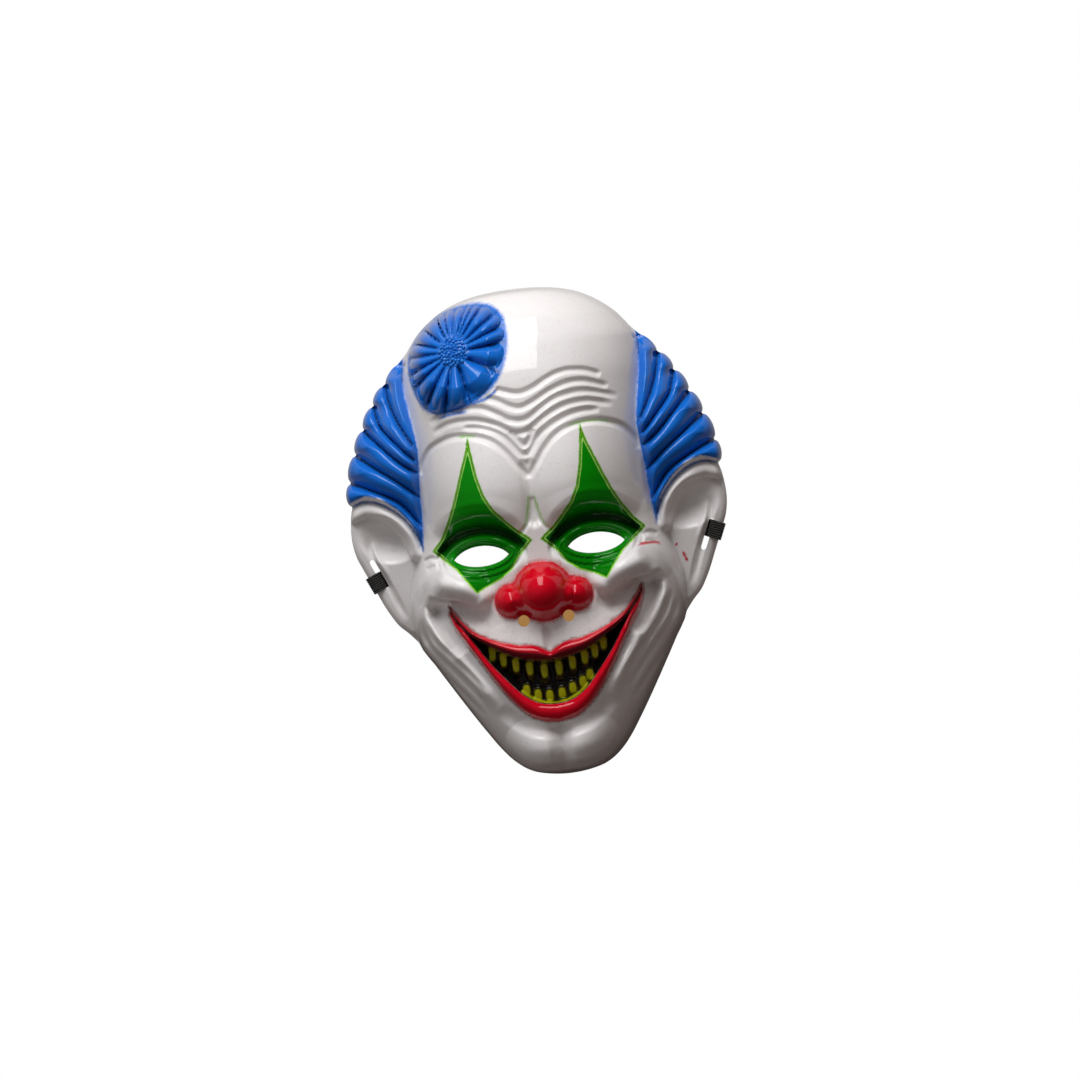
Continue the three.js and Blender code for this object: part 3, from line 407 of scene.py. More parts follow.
def eyeRelief(x, y):  # stepped lids round the hole
    depth = -zoneDepth(eyeLine, x, y)
    near = np.clip(depth, 0, None)
    angle = np.arctan2(y - eyeCentre[1], x - eyeCentre[0])
    above = smoothstep(-0.35, 0.35, np.sin(angle))
    side = smoothstep(0.95, 0.6, np.abs(np.cos(angle)) * smoothstep(6, 12, near))
    return (above * ringReader["upper"](near) + (1 - above) * ringReader["lower"](near)) * side


# nose

nose = {
    "foot": 0.81,  # where its lobes start, share of browRise
    "reach": 27.0,  # its tip above the foot
    "blend": 3.2,
    "bulb": dict(place=(0, -0.243), radii=(17.2, 17.2)),
    "wing": dict(place=(0.166, -0.268), radii=(10.2, 10.2)),
    "ventSpacing": 25.0,
    "ventDiameter": 6.4,
    "ventPlace": -0.354,
}


def noseDepth(x, y):  # mm inside the three lobes, run together
    lobes = [nose[lobe] for lobe in ("bulb", "wing")]
    bulb, wing = ((1 - ellipseAt(lobe["place"], lobe["radii"], x, y)) * lobe["radii"][0] for lobe in lobes)
    return higher(bulb, wing, nose["blend"])


def noseForm(x, y):
    depth, full = noseDepth(x, y), nose["bulb"]["radii"][0]
    lobe = full * dome(1 - np.clip(depth / full, 0, 1))
    tip = (nose["reach"] - full) * dome(ellipseAt(nose["bulb"]["place"], nose["bulb"]["radii"], x, y), 0.9)
    return np.where(depth > 0, mask["browRise"] * nose["foot"] + lobe + tip, 0)


# mouth

mouth = {
    "lipRise": 5.0,
    "depth": 8.0,
    "edges": [
        dict(x=0.0, lipTop=-0.489, lipUnder=-0.526, lowerInner=-0.703, lowerOuter=-0.776),
        dict(x=0.08, lipTop=-0.456, lipUnder=-0.52, lowerInner=-0.693, lowerOuter=-0.765),
        dict(x=0.16, lipTop=-0.448, lipUnder=-0.503, lowerInner=-0.655, lowerOuter=-0.729),
        dict(x=0.245, lipTop=-0.429, lipUnder=-0.471, lowerInner=-0.58, lowerOuter=-0.655),
        dict(x=0.32, lipTop=-0.404, lipUnder=-0.435, lowerInner=-0.505, lowerOuter=-0.566),
        dict(x=0.385, lipTop=-0.372, lipUnder=-0.402, lowerInner=-0.424, lowerOuter=-0.48),
        dict(x=0.43, lipTop=-0.337, lipUnder=-0.366, lowerInner=-0.37, lowerOuter=-0.425),
        dict(x=0.475, lipTop=-0.292, lipUnder=-0.32, lowerInner=-0.322, lowerOuter=-0.368),
        dict(x=0.507, lipTop=-0.257, lipUnder=-0.271, lowerInner=-0.272, lowerOuter=-0.298),
    ],
}
lipEdges = {c: columnReader(mouth["edges"], "x", c) for c in ("lipTop", "lipUnder", "lowerInner",
                                                              "lowerOuter")}
teeth = {
    "rise": 2.6,
    "upper": [(-0.3045, -0.471), (-0.25, -0.5), (-0.188, -0.528), (-0.118, -0.548), (-0.044, -0.5645),
              (0.033, -0.5605), (0.1055, -0.544), (0.171, -0.528), (0.226, -0.508), (0.275, -0.48)],
    "lower": [(-0.148, -0.634), (-0.092, -0.658), (-0.032, -0.666), (0.033, -0.662), (0.091, -0.646),
              (0.147, -0.6255), (0.187, -0.601)],
    "upperRadii": (3.3, 6.9),
    "lowerRadii": (3.5, 5.2),
    "upperTaper": 0.16,  # narrower towards their lower ends
    "lowerTaper": -0.1,
    "corner": 3.2,  # 2 is an ellipse, more is squarer
    "upperGum": [(-0.33, -0.438), (-0.265, -0.468), (-0.16, -0.503), (0, -0.53), (0.16, -0.503),
                 (0.24, -0.478)],
    "lowerGum": [(-0.17, -0.638), (-0.12, -0.67), (-0.04, -0.697), (0.04, -0.697), (0.12, -0.67),
                 (0.165, -0.635)],
    "bareEdge": 0.27,  # share of a tooth left black round its painted middle
}


def lipLines(x):
    return [lipEdges[c](np.minimum(x / halfWidth, mouth["edges"][-1]["x"])) * halfHeight
            for c in ("lipTop", "lipUnder", "lowerInner", "lowerOuter")]


def toothPlace(px, y):  # 1 at the middle of a tooth, 0 at its edge, negative between the teeth
    out = np.full(px.shape, -1.0)
    for row in ("upper", "lower"):
        for place in teeth[row]:
            rise = (y - place[1] * halfHeight) / teeth[row + "Radii"][1]
            narrowed = 1 + teeth[row + "Taper"] * np.clip(rise, -1, 1)
            across = np.abs(px - place[0] * halfWidth) / narrowed / teeth[row + "Radii"][0]
            square = teeth["corner"]
            out = np.maximum(out, 1 - (across ** square + np.abs(rise) ** square) ** (1 / square))
    return out


def teethForm(px, y):  # rises off the black of the mouth
    return teeth["rise"] * dome(1 - np.clip(toothPlace(px, y), 0, 1), 0.5)


def mouthForm(px, x, y):
    top, under, inner, outer = lipLines(x)
    inside = (x < mouth["edges"][-1]["x"] * halfWidth)
    rise = mouth["lipRise"]
    upper = 0.8 * rise * dome(np.clip(2 * (y - under) / np.maximum(top - under, 0.3) - 1, -1, 1), 0.6)
    lower = rise * dome(np.clip(2 * (y - outer) / np.maximum(inner - outer, 0.3) - 1, -1, 1), 0.55)
    wall = np.minimum(under - y, y - inner)
    hollow = -mouth["depth"] * smoothstep(-0.6, 2.4, wall) + teethForm(px, y) * smoothstep(0, 1.5, wall)
    form = np.where(y > under, upper, np.where(y < inner, lower, hollow))
    return np.where(inside & (y < top) & (y > outer), form, 0)


# cheeks, chin and jaw

face = {
    "domes": [
        dict(name="brow", place=(0.285, 0.19), radii=(33, 35), rise=8.0, power=1.1),
        dict(name="cheek", place=(0.49, -0.165), radii=(24, 16), rise=8.5, power=1.5),
        dict(name="muzzle", place=(0, -0.56), radii=(46, 34), rise=5.0, power=1.0),
        dict(name="chin", place=(0.142, -0.882), radii=(18.5, 18), rise=6.5, power=0.9),
    ],
    "lines": [  # below is how far a fold reaches on its left, where that differs
        dict(name="cheek roll", half=11, rise=7,
             line=[(0.56, -0.15), (0.47, -0.18), (0.37, -0.22), (0.27, -0.27)]),
        dict(name="muzzle step", half=3.2, below=14, rise=-8.5,
             line=[(0.62, -0.215), (0.57, -0.238), (0.52, -0.246), (0.46, -0.258), (0.4, -0.278),
                   (0.34, -0.287), (0.27, -0.275)]),
        dict(name="corner pocket", half=9, rise=-9, left=(0.01, -0.006),
             line=[(0.545, -0.24), (0.55, -0.3), (0.51, -0.37), (0.45, -0.46)]),
        dict(name="philtrum", half=4, rise=-2.6, line=[(0, -0.37), (0, -0.49)]),
        dict(name="smile roll", half=5.5, rise=4.5, left=(0.022, -0.006),
             line=[(0.55, -0.195), (0.592, -0.24), (0.608, -0.293), (0.582, -0.345), (0.527, -0.407),
                   (0.472, -0.468), (0.418, -0.534), (0.357, -0.6), (0.315, -0.655), (0.283, -0.72)]),
        dict(name="fold 1", half=2.8, rise=-2.4,
             line=[(0.645, -0.29), (0.598, -0.39), (0.514, -0.472), (0.439, -0.54), (0.351, -0.635)]),
        dict(name="fold 2", half=2.6, rise=-2.0,
             line=[(0.673, -0.333), (0.634, -0.413), (0.552, -0.497), (0.465, -0.578), (0.365, -0.68)]),
        dict(name="fold 3", half=2.6, rise=-2.0,
             line=[(0.713, -0.354), (0.666, -0.449), (0.577, -0.541), (0.479, -0.63), (0.367, -0.74)]),
        dict(name="fold 4", half=2.4, rise=-1.6,
             line=[(0.729, -0.389), (0.684, -0.468), (0.607, -0.56), (0.53, -0.64)]),
        dict(name="chin dimple", half=8.0, rise=-4.2, line=[(0, -0.77), (0, -0.86), (0, -1.0)]),
        dict(name="chin crease", half=4, rise=-2.4,
             line=[(0.3, -0.87), (0.24, -0.925), (0.13, -0.958), (0.03, -0.965)]),
        dict(name="lip shelf", half=6, rise=-2.8,
             line=[(0.3, -0.69), (0.2, -0.765), (0.1, -0.8), (0, -0.81)]),
        dict(name="crow foot upper", half=2.2, rise=-1.5,
             line=[(0.535, -0.075), (0.56, -0.058), (0.585, -0.06), (0.615, -0.072)]),
        dict(name="crow foot lower", half=2.2, rise=-1.3,
             line=[(0.515, -0.1), (0.555, -0.092), (0.605, -0.104)]),
        dict(name="temple edge", half=3, rise=0.9, line=[(0.578, 0.28), (0.572, 0.15), (0.58, 0.02)]),
    ],
}
faceCurves = [(f, curveThrough(f["line"])) for f in face["lines"]]


def faceRelief(px, y, head):
    x = np.abs(px)
    total = np.zeros(x.shape)
    for d in face["domes"]:
        total += d["rise"] * dome(ellipseAt(d["place"], d["radii"], x, y), d["power"])
    total *= smoothstep(6, 22, head)
    for f, line in faceCurves:
        move = np.array(f.get("left", (0, 0))) * (halfWidth, halfHeight)
        onLeft = smoothstep(4, -4, px)
        gap, share, side = alongLine(line, x - move[0] * onLeft, y - move[1] * onLeft)
        reach = np.where(side > 0, f.get("below", f["half"]), f["half"])
        total += f["rise"] * bell(gap / reach) * taper(share, 0.2)
    return total


# rosette of hair on the forehead

rosette = {
    "centre": (-0.317, 0.764),
    "petals": [  # furrows between them, degrees
        -30, 5, 22, 37, 54, 63, 70, 85, 100, 112, 137, 161, 180, 200, 214, 236, 255, 283],
    "rise": 13.0,
    "shoulder": 10.0,  # width of its rounded rim, mm
    "scallop": 3.2,
    "lean": (-0.3, 0.18),  # it stands higher off the head towards its upper left
    "petalRise": 8.5,
    "seat": 6.0,
    "seatRadius": 20.0,
    "seedRadius": 8.0,
}
rosetteOutline = curveThrough([(-0.575, 0.7), (-0.565, 0.78), (-0.51, 0.855), (-0.43, 0.91), (-0.33, 0.938),
                               (-0.21, 0.945),
                               (-0.12, 0.93), (-0.06, 0.88), (-0.045, 0.8), (-0.07, 0.7), (-0.12, 0.63),
                               (-0.2, 0.575),
                               (-0.3, 0.54), (-0.42, 0.525), (-0.5, 0.55), (-0.55, 0.62), (-0.575, 0.7)],
                               4)[:-1]


def petalPlace(px, y):  # -1 to 1 across a petal, its own angle in degrees, and mm from the seeds' centre
    dx, dy = px - rosette["centre"][0] * halfWidth, y - rosette["centre"][1] * halfHeight
    marks = np.array(rosette["petals"] + [rosette["petals"][0] + 360])
    angle = (np.degrees(np.arctan2(dy, dx)) - marks[0]) % 360 + marks[0]
    i = np.clip(np.searchsorted(marks, angle) - 1, 0, len(marks) - 2)
    low, high = marks[i], marks[i + 1]
    return np.clip(2 * (angle - low) / (high - low) - 1, -1, 1), high - low, np.hypot(dx, dy)


def rosetteForm(px, y):
    depth = zoneDepth(rosetteOutline, px, y)
    across, width, fromSeeds = petalPlace(px, y)
    outside = smoothstep(rosette["seedRadius"] - 1.5, rosette["seedRadius"] + 3, fromSeeds)
    crest = dome(across, 0.62)
    edge = np.clip(depth - rosette["scallop"] * (1 - crest), 0, None)
    lean = rosette["lean"]
    centre = rosette["centre"]
    level = lean[0] * (px - centre[0] * halfWidth) + lean[1] * (y - centre[1] * halfHeight)
    body = (rosette["rise"] + level) * (1 - (1 - np.clip(edge / rosette["shoulder"], 0, 1)) ** 2) ** 0.6
    spread = np.radians(width) * fromSeeds
    petal = np.minimum(rosette["petalRise"], 0.85 * spread) * (crest - 1) * outside * smoothstep(-0.5, 2.5,
                                                                                                 edge)
    seat = rosette["seat"] * dome(fromSeeds / rosette["seatRadius"],
                                  1.0) - 1.6 * dome(fromSeeds / rosette["seedRadius"], 1.0)
    return np.where(depth > 0, np.clip(body + petal - seat * smoothstep(0, 8, edge), 0, None), 0)


def maskForm(px, y):  # height of the front above the rim plane, mm
    x = np.abs(px)
    fromEdge = alongLine(outline, x, y)[0]
    head = headForm(x, y)
    form = head + faceRelief(px, y, head) + foreheadRelief(px, y)
    for line, depth, half in browLines:
        form -= depth * bell(alongLine(line, x, y)[0] / half)
    form -= eye["sink"] * dome(ellipseAt(eye["sinkPlace"], eye["sinkRadii"], x, y), 1.2)
    form += eyeRelief(x, y)
    form += mouthForm(px, x, y)
    form = higher(form, noseForm(x, y), 1.8)
    form += rosetteForm(px, y)
    full = higher(form, flangeForm(x, y, fromEdge), 2.5)
    roll = np.where(fromEdge < mask["edgeRoll"], dome(1 - fromEdge / mask["edgeRoll"]), 1)
    return rimHeight(x) + np.clip(full - rimHeight(x), 0, None) * roll


# the sheet, laid out on a square grid whose four sides follow the outline

sheet = {
    "crownSplit": 0.8,  # where the sides of the grid meet on the outline
    "jawSplit": -0.6,
    "rasterStep": 0.6,
    "cutLow": -20.0,
    "cutHigh": 150.0,
}


def gradedShares(cells, fine=14, first=0.14):  # narrow cells near both ends
    nearest = np.minimum(np.arange(cells), np.arange(cells)[::-1])
    widths = first + (1 - first) * smoothstep(0, fine, nearest + 0.5)
    return np.concatenate([[0], np.cumsum(widths)]) / widths.sum()


def pointsAlong(line, shares):
    lengths = np.concatenate([[0], np.cumsum(np.hypot(*np.diff(line, axis=0).T))])
    return np.stack([np.interp(shares * lengths[-1], lengths, line[:, c]) for c in (0, 1)], axis=1)


def rimSides(u, v):
    upper = int(np.argmax(outline[:, 1] < sheet["crownSplit"] * halfHeight))
    lower = int(np.argmax(outline[:, 1] < sheet["jawSplit"] * halfHeight))
    flip = np.array([-1, 1])
    crown, side, jaw = outline[:upper + 1], outline[upper:lower + 1][::-1], outline[lower:]
    return dict(bottom=pointsAlong(np.concatenate([(jaw * flip)[:-1], jaw[::-1]]), u),
                top=pointsAlong(np.concatenate([(crown * flip)[::-1][:-1], crown]), u),
                left=pointsAlong(side * flip, v), right=pointsAlong(side, v))


def insetSides(sides, inset):  # the four sides moved in, square to the outline
    parts = [sides["bottom"][:-1], sides["right"][:-1], sides["top"][::-1][:-1], sides["left"][::-1][:-1]]
    loop = np.concatenate(parts)
    along = np.roll(loop, -1, axis=0) - np.roll(loop, 1, axis=0)
    along /= np.hypot(*along.T)[:, None]
    moved = loop + inset * np.stack([-along[:, 1], along[:, 0]], axis=1)
    moved = np.concatenate([moved, moved[:1]])
    n, m = len(parts[0]), len(parts[1])
    return dict(bottom=moved[:n + 1], right=moved[n:n + m + 1],
                top=moved[n + m:2 * n + m + 1][::-1], left=moved[2 * n + m:][::-1])


def fillGrid(sides, u, v):
    u, v = u[None, :, None], v[:, None, None]
    bottom, top, left, right = (sides[k] for k in ("bottom", "top", "left", "right"))
    return ((1 - v) * bottom[None] + v * top[None] + (1 - u) * left[:, None] + u * right[:, None]
            - (1 - u) * (1 - v) * bottom[0] - u * (1 - v) * bottom[-1]
            - (1 - u) * v * top[0] - u * v * top[-1])


def relaxGrid(grid, u, v, rounds=160):  # evens out cells that fold over near the corners
    gapU, gapV = np.diff(u), np.diff(v)
    left, right = gapU[:-1][None, :, None], gapU[1:][None, :, None]
    down, up = gapV[:-1][:, None, None], gapV[1:][:, None, None]
    weights = [1 / (gap * (left + right)) for gap in (left, right)]
    weights += [1 / (gap * (down + up)) for gap in (down, up)]
    total = sum(weights)
    for _ in range(rounds):
        around = (grid[1:-1, :-2], grid[1:-1, 2:], grid[:-2, 1:-1], grid[2:, 1:-1])
        grid[1:-1, 1:-1] = sum(w * g for w, g in zip(weights, around)) / total
    return grid


def rimLoop(columns, rows, start=0):  # indices round the grid, counter-clockwise
    width = columns + 1
    loop = [i for i in range(columns)] + [j * width + columns for j in range(rows)]
    loop += [rows * width + i for i in range(columns, 0, -1)] + [j * width for j in range(rows, 0, -1)]
    return [start + i for i in loop]


def gridQuads(columns, rows, start=0, turned=False):
    width = columns + 1
    first = start + (np.arange(rows)[:, None] * width + np.arange(columns)).ravel()
    quads = np.stack([first, first + 1, first + 1 + width, first + width], axis=1)
    return (quads[:, ::-1] if turned else quads).tolist()


def backReader():  # height of the back: one wall below the front, square to it
    step, wall = sheet["rasterStep"], mask["wall"]
    xs = np.arange(-halfWidth - 5, halfWidth + 5, step)
    ys = np.arange(-halfHeight - 5, halfHeight + 5, step)
    x, y = np.meshgrid(xs, ys)
    loop = np.concatenate([outline, (outline * (-1, 1))[::-1]])
    front = np.where(insideLine(loop, x, y), maskForm(x, y), rimHeight(x) - 5)
    low = front - wall
    reach = int(wall / step)
    for i in range(-reach, reach + 1):
        for j in range(-reach, reach + 1):
            radius = math.hypot(i, j) * step
            if 0 < radius <= wall:
                low = np.minimum(low, np.roll(front, (i, j), (0, 1)) - math.sqrt(wall ** 2 - radius ** 2))

    def read(px, py):
        fx, fy = (px - xs[0]) / step, (py - ys[0]) / step
        i, j = fx.astype(int), fy.astype(int)
        tx, ty = fx - i, fy - j
        return ((low[j, i] * (1 - tx) + low[j, i + 1] * tx) * (1 - ty)
                + (low[j + 1, i] * (1 - tx) + low[j + 1, i + 1] * tx) * ty)
    return read


def sheetMesh():
    columns, rows = mask["columns"], mask["rows"]
    u, v = gradedShares(columns), gradedShares(rows)
    sides = rimSides(u, v)
    front = relaxGrid(fillGrid(sides, u, v), u, v).reshape(-1, 2)
    frontZ = maskForm(front[:, 0], front[:, 1])
    rim = rimLoop(columns, rows)
    frontZ[rim] = rimHeight(front[rim, 0])
    halved = {k: side[::2] for k, side in sides.items()}
    coarse = u[::2], v[::2]
    back = relaxGrid(fillGrid(insetSides(halved, mask["wall"]), *coarse), *coarse).reshape(-1, 2)
    backRim = rimLoop(columns // 2, rows // 2)
    lowest = rimHeight(back[:, 0])
    backZ = np.maximum(backReader()(back[:, 0], back[:, 1]), lowest)
    backZ[backRim] = lowest[backRim]
    points = np.concatenate([np.column_stack([front, frontZ]), np.column_stack([back, backZ])]) * mm
    start = len(front)
    faces = gridQuads(columns, rows) + gridQuads(columns // 2, rows // 2, start, turned=True)
    inner = [start + i for i in backRim]
    for k in range(len(inner)):
        a, b, c = rim[2 * k], rim[2 * k + 1], rim[(2 * k + 2) % len(rim)]
        faces.append([c, b, a, inner[k], inner[(k + 1) % len(inner)]])
    mesh = bpy.data.meshes.new("mask")
    mesh.from_pydata(points.tolist(), [], faces)
    kinds = np.ones(len(faces), int)
    kinds[:columns * rows] = 0
    mesh.polygons.foreach_set("material_index", kinds)
    return mesh


# holes punched through it

slotShape = {"place": -0.115, "length": 18.0, "width": 3.0, "inset": 6.6}


def slotFrame():  # at the ear's edge: the edge point, the way along it and the way in
    i = int(np.argmax((outline[:, 1] < slotShape["place"] * halfHeight) & (outline[:,
                                                                                   0] > 0.8 * halfWidth)))
    upper, lower = outline[i - 1], outline[i]
    edge = upper + (lower - upper) * (upper[1] - slotShape["place"] * halfHeight) / (upper[1] - lower[1])
    along = (lower - outline[i - 2]) / np.hypot(*(lower - outline[i - 2]))
    return edge, along, np.array([along[1], -along[0]])


earFrame = slotFrame()


def slotLine(steps=10):
    edge, along, inward = earFrame
    radius, run = slotShape["width"] / 2, (slotShape["length"] - slotShape["width"]) / 2
    centre = edge + inward * slotShape["inset"]
    line = []
    for end in (1, -1):
        for k in range(steps + 1):
            a = math.pi * k / steps
            line.append(centre + end * (along * (run + radius * math.sin(a)) + inward * radius * math.cos(a)))
    return np.array(line)


def ventLine(steps=28):
    a = np.arange(steps) * 2 * math.pi / steps
    radius = nose["ventDiameter"] / 2
    centre = nose["ventSpacing"] / 2, nose["ventPlace"] * halfHeight
    return np.stack([centre[0] + radius * np.cos(a), centre[1] + radius * np.sin(a)], axis=1)


def turnsLeft(line):  # the line in counter-clockwise order
    x, y = line.T
    area = np.sum(x * np.roll(y, -1) - y * np.roll(x, -1))
    return line if area > 0 else line[::-1]


def punchMesh():
    points, faces = [], []
    for hole in (eyeLine, ventLine(), slotLine()):
        for side in (1, -1):
            line = turnsLeft(hole * (side, 1))
            n, start = len(line), len(points)
            for z in (sheet["cutLow"], sheet["cutHigh"]):
                points += [(px * mm, py * mm, z * mm) for px, py in line]
            low = list(range(start, start + n))
            faces += [low[::-1], [i + n for i in low]]
            faces += [[low[k], low[(k + 1) % n], low[(k + 1) % n] + n, low[k] + n] for k in range(n)]
    mesh = bpy.data.meshes.new("punches")
    mesh.from_pydata(points, [], faces)
    mesh.polygons.foreach_set("material_index", np.full(len(faces), 2))
    return mesh


# paint: how far each point lies inside a painted zone, mm

paint = {
    "hair": [(0.613, 0.8), (0.618, 0.7), (0.615, 0.62), (0.6, 0.54), (0.583, 0.46), (0.574, 0.39),
             (0.58, 0.3),
             (0.59, 0.215), (0.595, 0.12), (0.603, 0.04), (0.611, -0.025), (0.63, 0.035), (0.66, 0.1),
             (0.72, 0.16),
             (0.8, 0.212), (0.88, 0.23), (0.94, 0.215), (1.08, 0.17), (1.1, 0.5), (0.9, 0.8)],
    "patch": [(0.293, 0.412), (0.305, 0.37), (0.32, 0.335), (0.352, 0.27), (0.382, 0.205), (0.415, 0.14),
              (0.455, 0.075),
              (0.5, 0.017), (0.556, -0.03), (0.487, -0.08), (0.43, -0.118), (0.392, -0.16), (0.338, -0.22),
              (0.29, -0.2),
              (0.205, -0.172), (0.143, -0.137), (0.103, -0.09), (0.022, -0.03), (0.09, 0.012),
              (0.14, 0.052), (0.2, 0.105),
              (0.24, 0.165), (0.266, 0.245), (0.28, 0.32)],
    "mistBlue": [[(-0.45, 0.503), (-0.36, 0.514), (-0.265, 0.517)],
                 [(-0.3, 0.542), (-0.17, 0.56), (-0.1, 0.6)]],
    "mistGreen": [[(0.19, 0.4), (0.26, 0.416), (0.34, 0.421), (0.42, 0.413), (0.49, 0.39)],
                  [(-0.24, 0.412), (-0.293, 0.418), (-0.35, 0.419)],
                  [(0.012, 0.17), (0.02, 0.12), (0.045, 0.04), (0.085, 0.004)],
                  [(-0.012, 0.17), (-0.02, 0.12), (-0.045, 0.04), (-0.085, 0.004)]],
    "mistRed": [[(0.49, -0.107), (0.55, -0.1), (0.6, -0.102), (0.63, -0.117)],
                [(0.722, -0.148), (0.735, -0.175), (0.745, -0.2)], [(0.69, -0.12), (0.705, -0.122)]],
}


def polygonFrom(places):
    return np.array(places, float) * (halfWidth, halfHeight)


def lipZone(upper, lower):  # closed line between two edges of the lips, both sides of the mouth
    flip = np.array([-1, 1])
    lines = [curveThrough([(row["x"], row[c]) for row in mouth["edges"]]) for c in (upper, lower)]
    full = [np.concatenate([(line * flip)[::-1][:-1], line]) for line in lines]
    return np.concatenate([full[0], full[1][::-1]])


def nearLines(lines, half, px, y):
    out = np.zeros(px.shape)
    for places in lines:
        gap, share, _ = alongLine(curveThrough(places), px, y)
        out = np.maximum(out, bell(gap / half) * (0.15 + 0.85 * taper(share, 0.3)))
    return out


def lidShade(x, y):  # painted shade in the hollow over the eye, and a little under it
    gap = np.clip(-zoneDepth(eyeLine, x, y), 0, None)
    above = smoothstep(0, 6, y - eyeCentre[1])
    return above * bell((gap - 8.5) / 6.5) + 0.3 * (1 - above) * smoothstep(0, 5, gap)


def paintZones(px, y):
    x = np.abs(px)
    across, _, fromSeeds = petalPlace(px, y)
    blossom = zoneDepth(rosetteOutline, px - 0.6, y - 0.3)
    # painted shade: darker blue down in the furrows between the locks and between the petals, full blue on
    # their crests
    crestLight = np.where(blossom > -1, np.where(fromSeeds > rosette["seedRadius"], dome(across, 0.6), 0.55),
                      lockCrest(x, y))
    upperGum, lowerGum = (alongLine(curveThrough(teeth[gum]), px, y)[0] for gum in ("upperGum", "lowerGum"))
    lipTop, lipUnder, _, _ = lipLines(x)
    aboveLip = y - lipTop
    gum = np.maximum(bell(upperGum / 1.6) * 1.2 - 0.6, np.minimum(1.5 - lowerGum, 1.0))
    lipZones = [lipZone("lipTop", "lipUnder"), lipZone("lowerInner", "lowerOuter")]
    return {
        "hairPaint": zoneDepth(polygonFrom(paint["hair"]), x, y),
        "blossomPaint": blossom,
        "paintedLockLight": crestLight,
        "patchPaint": zoneDepth(polygonFrom(paint["patch"]), x, y),
        "patchUpper": y - eyeCentre[1],
        "lidShade": lidShade(x, y),
        "lipPaint": np.maximum(*(zoneDepth(zone, px, y) for zone in lipZones)),
        # painted shade: 0 at the upper lip's top, 1 at its lower edge, where it goes darker red
        "lipShade": 1 - (y - lipUnder) / np.maximum(lipTop - lipUnder, 0.5),
        "mouthPaint": zoneDepth(lipZone("lipUnder", "lowerInner"), px, y),
        "toothPaint": np.maximum((toothPlace(px, y) - teeth["bareEdge"]) * 3.2, gum),
        "nosePaint": noseDepth(x, y) - 0.4,
        "mistBlue": nearLines(paint["mistBlue"], 1.6, px, y),
        "mistGreen": nearLines(paint["mistGreen"], 1.3, px, y),
        "mistRed": nearLines(paint["mistRed"], 1.5, px, y),
        "earLineGap": np.where(y > -2, alongLine(earLine, x, y)[0], 9.0),
        "lipSkin": (x < 0.5 * halfWidth) * smoothstep(0, 9, aboveLip) * smoothstep(20, 6, aboveLip),
    }


# shader helpers

def setSocket(tree, socket, value):
    if isinstance(value, bpy.types.NodeSocket):
        tree.links.new(value, socket)
    else:
        socket.default_value = value


def node(tree, kind, values=None, **settings):
    made = tree.nodes.new("ShaderNode" + kind)
    for name, value in settings.items():
        setattr(made, name, value)
    for key, value in (values or {}).items():
        setSocket(tree, made.inputs[key], value)
    return made


def calculate(tree, operation, a, b=0.0, clamp=False):
    return node(tree, "Math", {0: a, 1: b}, operation=operation, use_clamp=clamp).outputs[0]


def plus(tree, a, b, clamp=False):
    return calculate(tree, "ADD", a, b, clamp)


def minus(tree, a, b):
    return calculate(tree, "SUBTRACT", a, b)


def times(tree, a, b):
    return calculate(tree, "MULTIPLY", a, b)


def attribute(tree, name):
    return node(tree, "Attribute", attribute_name=name).outputs["Fac"]


def objectPlace(tree):
    return node(tree, "TexCoord").outputs["Object"]


def noise(tree, place, scale, detail, roughness=0.5):
    values = {"Vector": place, "Scale": scale, "Detail": detail, "Roughness": roughness}
    return node(tree, "TexNoise", values).outputs["Fac"]


def ramp(tree, value, low, high, toLow=0.0, toHigh=1.0, smooth=True):
    values = {"Value": value, "From Min": low, "From Max": high, "To Min": toLow, "To Max": toHigh}
    kind = "SMOOTHSTEP" if smooth else "LINEAR"
    return node(tree, "MapRange", values, interpolation_type=kind).outputs["Result"]


def blendColour(tree, share, a, b):
    made = node(tree, "Mix", data_type="RGBA")
    for i, value in ((0, share), (6, a), (7, b)):  # the colour sockets share their names with others
        setSocket(tree, made.inputs[i], value)
    return made.outputs[2]


def newGroup(name, inputs, outputs):
    group = bpy.data.node_groups.new(name, "ShaderNodeTree")
    for label, kind, value in inputs:
        socket = group.interface.new_socket(label, in_out="INPUT", socket_type="NodeSocket" + kind)
        if value is not None:
            socket.default_value = value
    for label, kind in outputs:
        group.interface.new_socket(label, in_out="OUTPUT", socket_type="NodeSocket" + kind)
    return group, group.nodes.new("NodeGroupInput").outputs, group.nodes.new("NodeGroupOutput").inputs


def useGroup(tree, group, values):
    return node(tree, "Group", values, node_tree=group).outputs


def sprayEdgeGroup():  # a painted zone's mask with a grainy airbrushed edge
    given = [("Depth", "Float", 0.0), ("Feather", "Float", 0.6), ("Grain", "Float", 2200.0)]
    group, given, result = newGroup("spray edge", given, [("Mask", "Float")])
    place = objectPlace(group)
    grain = noise(group, place, given["Grain"], 1.0, 0.6)
    drift = noise(group, place, 260.0, 2.0)
    shaken = times(group, minus(group, grain, 0.5), times(group, given["Feather"], 3.0))
    wander = times(group, minus(group, drift, 0.5), given["Feather"])
    depth = plus(group, given["Depth"], plus(group, shaken, wander))
    half = times(group, given["Feather"], 0.5)
    group.links.new(ramp(group, depth, times(group, half, -1.0), half), result["Mask"])
    return group


